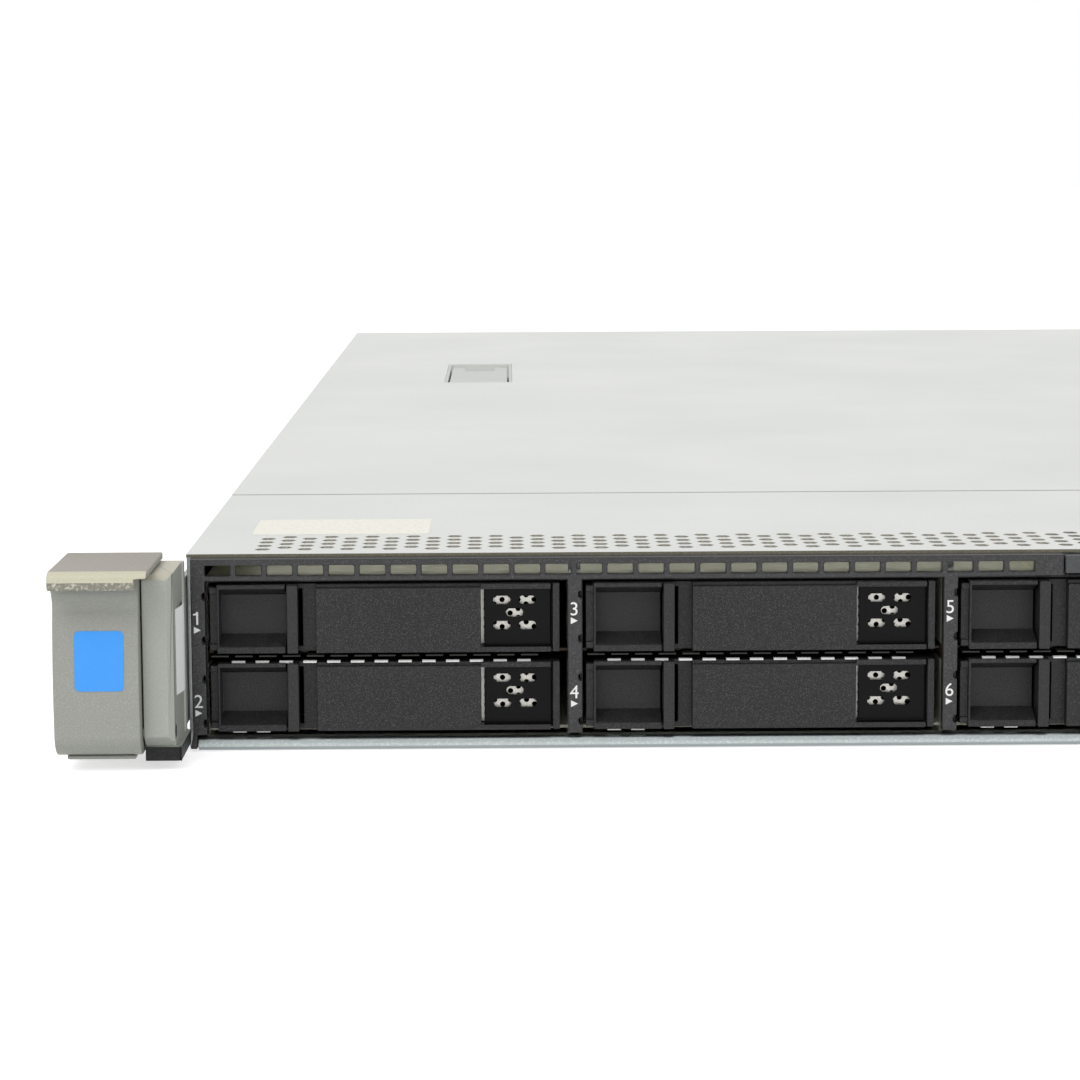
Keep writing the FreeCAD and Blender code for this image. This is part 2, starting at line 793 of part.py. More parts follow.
# --------------------------------------------------------------------- inside
def drive_backplane():
    """Board behind the bays with one socket per bay."""
    y = front + front_plate_depth + 3
    x0 = divider_left(0) + divider_width
    x1 = divider_left(drive_columns)
    board = block(x0, x1, y, y + board_thickness, tray_sheet, rows_top)
    sockets = []
    for column in range(drive_columns):
        for row in range(rows):
            x = bay_left(column) + 16
            z = bottom_row_z + row * row_pitch + 4
            sockets.append(block(x, x + 44, y - 6, y, z, z + 5))
    return joined([board] + sockets)


def fan_centre(index):
    """Middle of a fan: its place across the tray."""
    pitch = (chassis_width - 2 * tray_sheet - 2 * fan_side_gap - fan_size) / (fan_count - 1)
    return (index - (fan_count - 1) / 2) * pitch


fan_z = tray_sheet + slide_gap + fan_size / 2
fan_plate = 2.5
fan_y = front + fan_front


def fan_frame(index):
    """Square fan housing with a round duct, a motor plate on struts and a fixed shaft."""
    x = fan_centre(index)
    half = fan_size / 2
    end = fan_y + fan_length
    housing = block(x - half, x + half, fan_y, end, fan_z - half, fan_z + half)
    duct = polygon_rod(fan_bore, fan_sides, fan_length + 2, V(x, fan_y - 1, fan_z), V(0, 1, 0))
    plate = polygon_rod(rotor_hub, hub_sides, fan_plate, V(x, end - fan_plate, fan_z), V(0, 1, 0))
    strut = block(x - half + 1, x + half - 1, end - fan_plate, end, fan_z - 1, fan_z + 1)
    post = block(x - 1, x + 1, end - fan_plate, end, fan_z - half + 1, fan_z + half - 1)
    shaft_start = end - fan_plate - rotor_length - 2
    shaft = polygon_rod(fan_shaft, fan_sides, rotor_length + 2, V(x, shaft_start, fan_z), V(0, 1, 0))
    return housing.cut(duct).fuse([plate, strut, post, shaft]).removeSplitter()


def fan_blade():
    """One flat blade, pitched about its own radius, from inside the hub out to the duct."""
    chord = rotor_length * 0.75
    pitch = math.radians(blade_pitch)
    reach = chord / 2 * math.sin(pitch) + blade_thickness
    tip = math.sqrt(rotor_radius ** 2 - reach ** 2)
    blade = block(-blade_thickness / 2, blade_thickness / 2, -chord / 2, chord / 2, rotor_hub - 1.2, tip)
    blade.rotate(V(0, 0, 0), V(0, 0, 1), blade_pitch)
    return blade


def rotor_profile():
    """Fan rotor about the Y axis, at the origin: bored hub with pitched blades."""
    parts = [polygon_rod(rotor_hub, hub_sides, rotor_length, V(0, -rotor_length / 2, 0), V(0, 1, 0))]
    for index in range(rotor_blades):
        blade = fan_blade()
        blade.rotate(V(0, 0, 0), V(0, 1, 0), 360 / rotor_blades * index)
        parts.append(blade)
    bore = rod(fan_shaft + pin_clearance, rotor_length + 2, V(0, -rotor_length / 2 - 1, 0), V(0, 1, 0))
    return joined(parts).cut(bore)


def rotor_middle():
    """Place of every rotor along the duct."""
    return fan_y + fan_length - fan_plate - 0.8 - rotor_length / 2


def memory_banks():
    """Left sides of the banks of modules, from left to right."""
    bank = memory_per_bank * memory_pitch
    group = 2 * bank + processor_width
    for side in (-1, 1):
        start = side * (group / 2 + 2) - group / 2
        yield start
        yield start + bank + processor_width


def processor_lefts():
    """Left sides of the two heatsinks, each between two banks."""
    bank = memory_per_bank * memory_pitch
    starts = list(memory_banks())
    return starts[0] + bank, starts[2] + bank


board_top = tray_sheet + board_height + board_thickness
processor_height = 5.0
memory_socket_height = 4.0
board_front_y = front + board_front


def system_board():
    """L-shaped board beside the supplies, with memory sockets and processor sockets."""
    x0 = left + tray_sheet + 2
    x1 = right - tray_sheet - 2
    notch_x = supply_left(1) + supply_width + 2
    notch_y = supply_front - 5
    outline = [(x0, board_front_y), (x1, board_front_y), (x1, back - 2), (notch_x, back - 2),
               (notch_x, notch_y), (x0, notch_y)]
    z = board_top
    parts = [prism_z(outline, z - board_thickness, z)]
    y = front + processor_front
    for start in memory_banks():
        for index in range(memory_per_bank):
            x = start + (index + 0.5) * memory_pitch
            parts.append(block(x - 2.5, x + 2.5, y - 4, y + memory_length + 4, z, z + memory_socket_height))
    for x in processor_lefts():
        parts.append(block(x + 8, x + processor_width - 8, y + 20, y + 90, z, z + processor_height))
    return joined(parts)


def memory_modules():
    """Upright modules standing in the board's sockets."""
    y = front + processor_front
    z = board_top + memory_socket_height
    modules = []
    for start in memory_banks():
        for index in range(memory_per_bank):
            x = start + (index + 0.5) * memory_pitch - memory_thickness / 2
            modules.append(block(x, x + memory_thickness, y, y + memory_length, z, z + memory_height - 4))
    return Part.makeCompound(modules)


def heatsink():
    """Finned heatsink at the origin: one comb profile drawn along the air flow."""
    base = 4.0
    width = processor_width - 2
    gap_count = heatsink_fins - 1
    pitch = width / (gap_count + 0.5)
    fin = pitch / 2
    comb = [(0, 0), (width, 0), (width, heatsink_height)]
    for index in range(gap_count):
        edge = width - fin - index * pitch
        comb += [(edge, heatsink_height), (edge, base), (edge - fin, base), (edge - fin, heatsink_height)]
    comb.append((0, heatsink_height))
    return prism_y(comb, 0, heatsink_length)


def air_baffle():
    """Plastic duct over the memory and heatsinks, standing on the board."""
    y0 = front + processor_front - baffle_overhang
    y1 = latch_cup_limits()[2] - baffle_latch_gap
    x = chassis_width / 2 - baffle_side
    top_z = cover_z - baffle_drop
    top = block(-x, x, y0, y1, top_z - baffle_wall, top_z)
    sides = [block(a, a + baffle_wall, y0, y1, board_top, top_z) for a in (-x, x - baffle_wall)]
    return joined([top] + sides)


def riser_cage():
    """Folded bracket over the expansion slots, standing on the board."""
    x0 = supply_left(1) + supply_width + 10
    x1 = right - tray_sheet - 4
    y0 = back - riser_depth
    y1 = back - riser_back
    z = cover_z - baffle_drop
    top = block(x0, x1, y0, y1, z - riser_sheet, z)
    legs = [block(x, x + riser_sheet, y0, y1, board_top, z) for x in (x0, (x0 + x1) / 2, x1 - riser_sheet)]
    return joined([top] + legs)


# ----------------------------------------------------------------------- rear
def supply_left(index):
    """Left side of a power supply."""
    side = left + tray_sheet + slide_gap + cover_sheet + supply_gap
    return side + index * (supply_width + supply_gap)


supply_z = tray_sheet + slide_gap
slot_low = 23.0
slot_height = 16.0
slot_shares = (108, 80, 70)
slot_spacing = 6.0
slot_end_margin = 8.0
slot_start_margin = 15.1
vent_pitch = 11.0
port_low = board_top


def slot_lefts():
    """Left side and width of each expansion slot, from the right end inwards."""
    x = right - tray_sheet - slot_end_margin
    usable = x - supply_left(2) - slot_start_margin + supply_gap - slot_spacing * (len(slot_shares) - 1)
    for share in slot_shares:
        width = usable * share / sum(slot_shares)
        x -= width
        yield x, width
        x -= slot_spacing


jack_mouth = 11.8
jack_mouth_low = 2.6
jack_mouth_high = 10.6
jack_key = 5.8
jack_key_high = 12.0
jack_back_wall = 3.0
jack_proud = 0.4
network_jacks = 4
network_left = right - 97.35
management_left = network_left - 28.0
vga_left = management_left - 42.0
vga_width = 31.0
vga_height = 12.5
vga_body_depth = 12.0
vga_shell_depth = 5.0
vga_shell_low = 2.4
vga_shell_high = 10.4
vga_shell_half = 9.1
vga_shell_taper = 1.1
rear_usb_left = vga_left - 30.0
rear_usb_pitch = 18.0


def rear_openings():
    """(left, right, low, high) of each socket's opening in the rear panel."""
    high = port_low + jack_height
    yield network_left, network_left + network_jacks * jack_width, port_low, high
    yield management_left, management_left + jack_width, port_low, high
    yield vga_left, vga_left + vga_width, port_low, port_low + vga_height
    for index in range(2):
        x = rear_usb_left - index * rear_usb_pitch
        shell = 2 * socket_shell
        yield x, x + usb_width + shell, port_low, port_low + usb_height + shell


def rear_panel():
    """Steel sheet with openings for the supplies, the slots and the sockets."""
    x0 = left + tray_sheet + 0.1
    sheet = block(x0, -x0, back - tray_sheet, back, tray_sheet, cover_z - slide_gap)
    gap = 0.3
    cuts = [block(supply_left(0) - gap, supply_left(1) + supply_width + gap, back - 5, back + 5,
                  tray_sheet - 1, supply_z + supply_height + gap)]
    for x, width in slot_lefts():
        cuts.append(block(x, x + width, back - 5, back + 5, slot_low, slot_low + slot_height))
    for a, b, low, high in rear_openings():
        cuts.append(block(a - 0.1, b + 0.1, back - 5, back + 5, low - 0.1, high + 0.1))
    return sheet.cut(cuts)


def slot_covers():
    """Vented covers behind the rear panel, one for each expansion slot."""
    covers = []
    for x, width in slot_lefts():
        y = back - tray_sheet
        plate = block(x - 1.5, x + width + 1.5, y - 0.8, y, slot_low - 1.5, slot_low + slot_height + 1.5)
        count = int(width / vent_pitch)
        vents = [block(x + 4 + i * vent_pitch, x + vent_pitch - 2 + i * vent_pitch, y - 2, y + 1,
                       slot_low + 3, slot_low + slot_height - 3) for i in range(count)]
        covers.append(plate.cut(vents))
    return Part.makeCompound(covers)


def jack_block(x, count):
    """Row of network sockets in one shell, standing on the board."""
    inner = back - jack_depth + jack_back_wall
    body = block(x, x + count * jack_width, back - jack_depth, back + jack_proud, port_low,
                 port_low + jack_height)
    cuts = []
    for index in range(count):
        middle = x + (index + 0.5) * jack_width
        for half, low, high in ((jack_mouth / 2, jack_mouth_low, jack_mouth_high),
                                (jack_key / 2, jack_mouth_high, jack_key_high)):
            cuts.append(block(middle - half, middle + half, inner, back + 1, port_low + low, port_low + high))
    return body.cut(cuts)


def shell_outline(inset):
    """(x, z) outline of the video socket's tapered shell, at the port's left and low corner."""
    middle = vga_left + vga_width / 2
    low = port_low + vga_shell_low + inset
    high = port_low + vga_shell_high - inset
    wide = vga_shell_half - inset
    narrow = wide - vga_shell_taper
    return [(middle - narrow, low), (middle + narrow, low), (middle + wide, high), (middle - wide, high)]


def rear_sockets():
    """Management, video and two serial-bus sockets on the board's rear edge."""
    sockets = [jack_block(management_left, 1)]
    z = port_low
    body = block(vga_left, vga_left + vga_width, back - vga_body_depth, back, z, z + vga_height)
    shell = prism_y(shell_outline(0), back, back + vga_shell_depth)
    inner = prism_y(shell_outline(socket_shell), back - 1, back + vga_shell_depth + 1)
    sockets.append(joined([body, shell]).cut(inner))
    for index in range(2):
        a = rear_usb_left - index * rear_usb_pitch
        shell = block(a, a + usb_width + 2 * socket_shell, back - usb_depth, back + jack_proud, z,
                      z + usb_height + 2 * socket_shell)
        hollow = block(a + socket_shell, a + socket_shell + usb_width, back - usb_depth + 1, back + 1,
                       z + socket_shell, z + socket_shell + usb_height)
        sockets.append(shell.cut(hollow))
    return Part.makeCompound(sockets)


inlet_left = 5.0
inlet_low = 5.0
grip_left = 40.0
grip_width = 7.0
grip_depth = 24.0
grip_wall = 5.0
grip_low = 4.0
grip_clearance = 1.0
blade_width = 2.0
blade_height = 4.0
blade_setback = 3.0
blade_places = ((0, 13.5), (-7, 7.5), (7, 7.5))
supply_vents = 4
supply_vent_start = 9.5
supply_vent_pitch = 3.0
supply_vent_width = 1.8
supply_vent_depth = 3.0
supply_vent_low = 6.0
supply_vent_high = 33.0
catch_recess = 6.0
catch_width = 2.4
catch_travel = 2.5
catch_depth = 30.0
catch_proud = 13.0
catch_low = 9.0
catch_high = 31.0


def power_supply(index):
    """Hot-plug supply: case, recessed inlet with three blades, grip loop, catch recess."""
    x = supply_left(index)
    z = supply_z
    case = block(x, x + supply_width, supply_front, back, z, z + supply_height)
    inside = block(x + supply_sheet, x + supply_width - supply_sheet, supply_front + supply_sheet,
                   back - catch_depth - 2 * supply_sheet, z + supply_sheet, z + supply_height - supply_sheet)
    grip_right = x + grip_left + grip_width
    grip_top = z + supply_height - grip_low
    grip = block(x + grip_left, grip_right, back, back + grip_depth, z + grip_low, grip_top)
    finger = block(x + grip_left - grip_clearance, grip_right + grip_clearance, back,
                   back + grip_depth - grip_wall, z + grip_low + grip_wall, grip_top - grip_wall)
    a = x + inlet_left
    b = z + inlet_low
    inlet = block(a, a + inlet_width, back - inlet_depth, back + 1, b, b + inlet_height)
    recess = block(x + supply_width - catch_recess, x + supply_width + 1, back - catch_depth, back + 1,
                   z + catch_low, z + catch_high)
    middle = a + inlet_width / 2
    blades = [block(middle + dx - blade_width / 2, middle + dx + blade_width / 2,
                    back - inlet_depth, back - blade_setback,
                    b + dz - blade_height / 2, b + dz + blade_height / 2) for dx, dz in blade_places]
    starts = [x + grip_left + supply_vent_start + i * supply_vent_pitch for i in range(supply_vents)]
    vents = [block(start, start + supply_vent_width, back - supply_vent_depth, back + 1,
                   z + supply_vent_low, z + supply_vent_high) for start in starts]
    body = case.fuse(grip).cut([inside, finger, inlet, recess] + vents)
    return body.fuse(blades).removeSplitter()


def supply_catch(index):
    """Sprung release catch beside a supply's grip."""
    x = supply_left(index) + supply_width - 0.2
    z0 = supply_z + catch_low + blank_gap
    z1 = supply_z + catch_high - blank_gap
    arm = block(x - catch_width, x, back - catch_depth + blank_gap, back, z0, z1)
    tab = block(x - catch_width, x, back, back + catch_proud, z0 + 3, z1 - 3)
    return joined([arm, tab])


# ------------------------------------------------------------------ fasteners
stud_radius = 3.4
stud_length = 3.2
stud_first = 100.0
stud_last = 138.5
stud_count = 3
stud_pitch = (chassis_depth - stud_first - stud_last) / (stud_count - 1)
post_radius = 1.6


def rail_studs():
    """Studs on both side walls that hang the server in its rails."""
    studs = []
    for index in range(stud_count):
        y = front + stud_first + index * stud_pitch
        stud = rod(stud_radius, stud_length, V(left - stud_length, y, chassis_height / 2), V(1, 0, 0))
        studs += [stud, mirrored(stud)]
    return Part.makeCompound(studs)


def board_posts():
    """Places of the posts that carry the system board."""
    for x in (left + 15, -60, 60, right - 15):
        for y in (board_front_y + 12, supply_front - 12):
            yield x, y


def rivets_and_posts():
    """Ear rivets, posts under the system board and posts under the front top plate."""
    group = []
    for y in (front + 18, front + 46):
        rivet = rod(3.0, 1.0, V(left - ear_side_sheet - 1.0, y, chassis_height / 2), V(1, 0, 0))
        group += [rivet, mirrored(rivet)]
    for x, y in board_posts():
        group.append(polygon_rod(post_radius + 1, 6, board_height, V(x, y, tray_sheet), V(0, 0, 1)))
    for column in range(1, columns):
        x = divider_left(column) + divider_width / 2
        group.append(polygon_rod(post_radius, 6, cover_z - cage_top, V(x, front + 6.5, cage_top), V(0, 0, 1)))
    return Part.makeCompound(group)


# -------------------------------------------------------------------- writing
keep("chassis_tray", chassis_tray())
keep("front_top_plate", front_top_plate())
keep("hood", hood())
keep("hood_latch_cup", hood_latch_cup())
keep("hood_latch_lever", hood_latch_lever())
keep("front_frame", front_frame())
keep("serial_tab", serial_tab())
keep("drive_cage", drive_cage())
blank = drive_blank()
latch = blank_latch()
for column in range(drive_columns):
    for row in range(rows):
        number = column * rows + row + 1
        place = (bay_left(column), front, top_row_z - row * row_pitch)
        keep("drive_blank_" + str(number), moved(blank, *place))
        keep("blank_latch_" + str(number), moved(latch, *place))
keep("media_bay_blank", moved(media_bay_blank(), bay_left(drive_columns), front, bottom_row_z))
keep("ear_bracket_left", ear_bracket())
keep("ear_bracket_right", mirrored(ear_bracket()))
keep("ear_lever_left", ear_lever())
keep("ear_lever_right", mirrored(ear_lever()))
keep("ear_pins", Part.makeCompound([ear_pin(), mirrored(ear_pin())]))
keep("grounding_strips", Part.makeCompound([grounding_strip(), mirrored(grounding_strip())]))
keep("control_panel", control_panel())
keep("power_button", front_button(power_radius, power_height))
keep("uid_button", front_button(uid_radius, uid_height))
keep("front_usb_socket", front_usb())
keep("drive_backplane", drive_backplane())
keep("fan_frames", Part.makeCompound([fan_frame(index) for index in range(fan_count)]))
rotor = rotor_profile()
for index in range(fan_count):
    keep("fan_rotor_" + str(index + 1), moved(rotor, fan_centre(index), rotor_middle(), fan_z))
keep("system_board", system_board())
keep("memory_modules", memory_modules())
for number, x in enumerate(processor_lefts(), start=1):
    sink_z = board_top + processor_height
    keep("heatsink_" + str(number), moved(heatsink(), x + 1, front + processor_front + 8, sink_z))
keep("air_baffle", air_baffle())
keep("riser_cage", riser_cage())
keep("rear_panel", rear_panel())
keep("slot_covers", slot_covers())
keep("network_module", jack_block(network_left, network_jacks))
keep("rear_sockets", rear_sockets())
for index in range(2):
    keep("power_supply_" + str(index + 1), power_supply(index))
    keep("supply_catch_" + str(index + 1), supply_catch(index))
keep("rail_studs", rail_studs())
keep("rivets_and_posts", rivets_and_posts())
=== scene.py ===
import json
import math

import bmesh
import bpy
from mathutils import Matrix, Vector
from mathutils.bvhtree import BVHTree

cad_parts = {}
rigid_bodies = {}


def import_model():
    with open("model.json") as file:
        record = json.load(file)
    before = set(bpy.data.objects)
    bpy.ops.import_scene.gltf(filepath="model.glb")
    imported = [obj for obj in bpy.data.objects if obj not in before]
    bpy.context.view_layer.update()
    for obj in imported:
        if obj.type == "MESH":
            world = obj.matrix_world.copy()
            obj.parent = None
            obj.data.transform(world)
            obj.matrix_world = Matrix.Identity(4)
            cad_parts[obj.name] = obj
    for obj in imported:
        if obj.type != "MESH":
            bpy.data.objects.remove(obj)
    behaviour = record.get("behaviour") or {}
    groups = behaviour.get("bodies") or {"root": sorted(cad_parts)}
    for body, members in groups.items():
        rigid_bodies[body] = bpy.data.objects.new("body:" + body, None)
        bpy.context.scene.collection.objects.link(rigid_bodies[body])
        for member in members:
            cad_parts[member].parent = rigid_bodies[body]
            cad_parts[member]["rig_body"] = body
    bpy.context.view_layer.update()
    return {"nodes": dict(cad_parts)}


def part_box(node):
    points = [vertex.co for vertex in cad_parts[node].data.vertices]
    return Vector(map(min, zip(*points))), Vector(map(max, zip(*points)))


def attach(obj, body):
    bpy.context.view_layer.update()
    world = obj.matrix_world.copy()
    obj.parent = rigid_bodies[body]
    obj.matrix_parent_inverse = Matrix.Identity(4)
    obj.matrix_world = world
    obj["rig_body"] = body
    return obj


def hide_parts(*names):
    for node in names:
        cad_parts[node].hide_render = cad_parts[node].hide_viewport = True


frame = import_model()

# ---------------------------------------------------------------- chassis tray
# The tray is folded from one sheet of zinc-plated steel. Its front edge is
# rolled into a round hem, which shows as a bright rail under the bays.
# Satin zinc: soft grey metal with a faint cloudy bloom and fine rolling grain.
MM = 0.001
WELD = 0.002
GRAIN_SPREAD = 0.2
CLOUD_SHINE = 0.05
CLOUD_DULL = 0.06
RELIEF_SHARE = 0.3
HEM_PAINTED_SHADE_LOW = -0.1
HEM_PAINTED_SHADE_HIGH = 0.9


def linear(code):
    """An sRGB hex colour as linear RGBA."""
    parts = [int(code[i:i + 2], 16) / 255 for i in (1, 3, 5)]
    return [p / 12.92 if p <= 0.04045 else ((p + 0.055) / 1.055) ** 2.4 for p in parts] + [1.0]


def add(tree, kind, inputs=None, **settings):
    """Adds one node with its settings, values and links."""
    node = tree.nodes.new(kind)
    for key, value in settings.items():
        setattr(node, key, value)
    for socket, value in (inputs or {}).items():
        if isinstance(value, bpy.types.NodeSocket):
            tree.links.new(value, node.inputs[socket])
        else:
            node.inputs[socket].default_value = value
    return node


def blank_material(name):
    """An empty node material, its shader and its object coordinates."""
    material = bpy.data.materials.new(name)
    material.use_nodes = True
    tree = material.node_tree
    tree.nodes.clear()
    shader = add(tree, "ShaderNodeBsdfPrincipled")
    out = add(tree, "ShaderNodeOutputMaterial")
    tree.links.new(shader.outputs["BSDF"], out.inputs["Surface"])
    place = add(tree, "ShaderNodeTexCoord").outputs["Object"]
    return material, tree, shader, place


def grained(name, base, other, grain_mm, amount, metallic, roughness, bump, cloud_mm=30.0, sheen=0.5,
            rarity=0.48):
    """A finish of two colours mixed by a fine grain, with a broad cloud in its roughness.
    The amount is the second colour's share where the grain is strongest, and the
    bump is the grain's relief. A higher rarity leaves fewer specks of that colour."""
    material, tree, shader, place = blank_material(name)
    grain = add(tree, "ShaderNodeTexNoise", {"Vector": place, "Scale": 1 / (grain_mm * MM), "Detail": 2.0})
    cloud = add(tree, "ShaderNodeTexNoise", {"Vector": place, "Scale": 1 / (cloud_mm * MM), "Detail": 3.0})
    spread = add(tree, "ShaderNodeMapRange", {"Value": grain.outputs["Fac"], "From Min": rarity,
                                              "From Max": rarity + GRAIN_SPREAD, "To Max": amount})
    tint = add(tree, "ShaderNodeMix", {0: spread.outputs["Result"], 6: linear(base), 7: linear(other)},
               data_type="RGBA")
    rough = add(tree, "ShaderNodeMapRange", {"Value": cloud.outputs["Fac"], "From Min": 0.3, "From Max": 0.7,
                                             "To Min": roughness - CLOUD_SHINE,
                                             "To Max": roughness + CLOUD_DULL})
    relief = add(tree, "ShaderNodeBump", {"Height": grain.outputs["Fac"], "Strength": bump,
                                          "Distance": grain_mm * MM * RELIEF_SHARE})
    shader.inputs["Metallic"].default_value = metallic
    shader.inputs["Specular IOR Level"].default_value = sheen
    tree.links.new(tint.outputs[2], shader.inputs["Base Color"])
    tree.links.new(rough.outputs["Result"], shader.inputs["Roughness"])
    tree.links.new(relief.outputs["Normal"], shader.inputs["Normal"])
    return material


def dress(material, *nodes):
    """Gives carried-over CAD nodes a finish."""
    for name in nodes:
        for place in frame["nodes"][name].material_slots:
            place.material = material


def body_of(node):
    """The body that carries a CAD node."""
    return frame["nodes"][node]["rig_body"]


def settled(name, mesh, body, replaced=()):
    """Links a finished mesh as a piece: rides its body, stands for the replaced nodes."""
    piece = bpy.data.objects.new(name, mesh)
    bpy.context.scene.collection.objects.link(piece)
    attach(piece, body)
    if replaced:
        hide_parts(*replaced)
    return piece


def baked(piece):
    """The evaluated mesh of an object; the object and its modifiers are removed."""
    graph = bpy.context.evaluated_depsgraph_get()
    mesh = bpy.data.meshes.new_from_object(piece.evaluated_get(graph))
    bpy.data.objects.remove(piece)
    return mesh


def softened(node, radius_mm, material, angle=32, segments=2, others=(), where=None, merge=True,
             sharp=None):
    """A copy of a CAD node with its edges rounded over, which stands for the node.
    The where test turns a face's middle, in mm, into the number of its finish, and
    the sharp test names edges that stay unrounded."""
    work = bmesh.new()
    work.from_mesh(frame["nodes"][node].data)
    bmesh.ops.remove_doubles(work, verts=work.verts, dist=WELD * MM)
    if merge:
        bmesh.ops.dissolve_limit(work, angle_limit=math.radians(1), verts=work.verts, edges=work.edges)
    for face in work.faces:
        face.smooth = True
        face.material_index = int(where(face.calc_center_median() / MM)) if where else 0
    weight = work.edges.layers.float.new("bevel_weight_edge")
    for edge in work.edges:
        middle = (edge.verts[0].co + edge.verts[1].co) / 2 / MM
        keen = edge.calc_face_angle(0.0) > math.radians(angle)
        edge[weight] = float(keen and not (sharp and sharp(middle)))
    mesh = bpy.data.meshes.new(node)
    work.to_mesh(mesh)
    work.free()
    for finish in (material, *others):
        mesh.materials.append(finish)
    piece = bpy.data.objects.new(node, mesh)
    bpy.context.scene.collection.objects.link(piece)
    rounding = piece.modifiers.new("rounding", "BEVEL")
    rounding.width = radius_mm * MM
    rounding.segments = segments
    rounding.limit_method = "WEIGHT"
    rounding.use_clamp_overlap = False
    flat = piece.modifiers.new("flat faces", "WEIGHTED_NORMAL")
    flat.mode = "FACE_AREA"
    flat.weight = 80
    return settled(node + ".soft", baked(piece), body_of(node), [node])


def banded(material, base_color, axis, low, high):
    """Gives a finish another base colour between two places along an axis, in metres."""
    tree = material.node_tree
    shader = next(node for node in tree.nodes if node.type == "BSDF_PRINCIPLED")
    plain = shader.inputs["Base Color"].links[0].from_socket
    place = add(tree, "ShaderNodeTexCoord").outputs["Object"]
    along = add(tree, "ShaderNodeSeparateXYZ", {0: place}).outputs[axis]
    inside = add(tree, "ShaderNodeMath", {0: along, 1: (low + high) / 2, 2: (high - low) / 2},
                 operation="COMPARE")
    tint = add(tree, "ShaderNodeMix", {0: inside.outputs[0], 6: plain, 7: linear(base_color)},
               data_type="RGBA")
    tree.links.new(tint.outputs[2], shader.inputs["Base Color"])


tray_zinc = grained("satin_zinc_plated_steel", "#AEB5B5", "#CDD3D3", 0.5, 0.5, 1.0, 0.34, 0.2)
# Painted shade: the lower part of the round hem is painted a darker grey.
banded(tray_zinc, "#8F9596", "Z", HEM_PAINTED_SHADE_LOW * MM, HEM_PAINTED_SHADE_HIGH * MM)
softened("chassis_tray", 0.12, tray_zinc)

# ------------------------------------------------------------------ drive cage
# Welded cage of yellow-passivated zinc sheet behind the front frame, warmer and
# duller than the tray. Its top sheet shows through the air slots. Its front
# lips are painted near black and the gap between the rows dark bronze-brown,
# as painted shade behind and between the parts.
ROW_GAP_LAP = 0.6
CAGE_LIP = 3.0
cage_zinc = grained("passivated_zinc_sheet", "#E9E9D6", "#F2F2E6", 0.6, 0.5, 0.2, 0.5, 0.2)
row_gap_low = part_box("drive_blank_2")[1].z - ROW_GAP_LAP * MM
row_gap_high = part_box("drive_blank_1")[0].z + ROW_GAP_LAP * MM
# Painted shade: the cage is painted dark bronze-brown across the gap between the rows.
banded(cage_zinc, "#3E3226", "Z", row_gap_low, row_gap_high)
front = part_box("front_frame")[0].y
# Painted shade: a near-black band on the cage's front lips, behind the frame.
banded(cage_zinc, "#1F1E1C", "Y", front - CAGE_LIP * MM, front + CAGE_LIP * MM)
dress(cage_zinc, "drive_cage")

# ----------------------------------------------------------------- front frame
# One black moulding, painted with a fine sparkling grain: the slotted strip
# under the top plate and the dividers. All its edges are slightly rounded.
frame_black = grained("textured_black_enamel", "#2B2B2D", "#A3A29E", 0.2, 0.6, 0.0, 0.33, 1.0, sheen=0.4,
                      rarity=0.58)
softened("front_frame", 0.3, frame_black, merge=False)

# ------------------------------------------------------------- front top plate
# Fixed zinc sheet over the bays, punched with four staggered rows of six-sided
# air holes. Its sheared front edge is dull brown-grey.
HOLE_ACROSS = 3.6
HOLE_PITCH = 4.68
HOLE_ROW_PITCH = 5.4
HOLE_ROWS = 4
HOLE_SIDES = 6
HOLE_MARGIN = 16.0
HOLE_START = 10.0
PLATE_SHEET = 0.7
SHEARED_EDGE = 1.0
SEAM = 0.001


def node_tree(name, values):
    """A geometry tree with named inputs, each of its kind, and a material, and its two ends."""
    tree = bpy.data.node_groups.new(name, "GeometryNodeTree")
    for label, kind in values:
        tree.interface.new_socket(label, in_out="INPUT", socket_type=kind)
    tree.interface.new_socket("Material", in_out="INPUT", socket_type="NodeSocketMaterial")
    tree.interface.new_socket("Geometry", in_out="OUTPUT", socket_type="NodeSocketGeometry")
    return tree, add(tree, "NodeGroupInput").outputs, add(tree, "NodeGroupOutput")


def close_tree(tree, given, out, shape):
    """Ends a geometry tree: real geometry with its finish."""
    real = add(tree, "GeometryNodeRealizeInstances", {"Geometry": shape})
    dressed = add(tree, "GeometryNodeSetMaterial", {"Geometry": real.outputs[0],
                                                    "Material": given["Material"]})
    tree.links.new(dressed.outputs[0], out.inputs[0])


def grown(name, tree, values):
    """The mesh that a geometry tree makes from these input values."""
    piece = bpy.data.objects.new(name, bpy.data.meshes.new(name))
    bpy.context.scene.collection.objects.link(piece)
    grow = piece.modifiers.new("grow", "NODES")
    grow.node_group = tree
    for item in tree.interface.items_tree:
        if item.in_out == "INPUT":
            grow[item.identifier] = values[item.name]
    return baked(piece)


def thickened(tree, surface, thickness):
    """A surface turned into a closed sheet of this thickness."""
    raised = add(tree, "GeometryNodeExtrudeMesh", {"Mesh": surface, "Offset Scale": thickness,
                                                   "Individual": False})
    under = add(tree, "GeometryNodeFlipFaces", {"Mesh": surface})
    both = add(tree, "GeometryNodeJoinGeometry")
    tree.links.new(raised.outputs[0], both.inputs[0])
    tree.links.new(under.outputs[0], both.inputs[0])
    whole = add(tree, "GeometryNodeMergeByDistance", {"Geometry": both.outputs[0], "Distance": SEAM * MM})
    return whole.outputs[0]


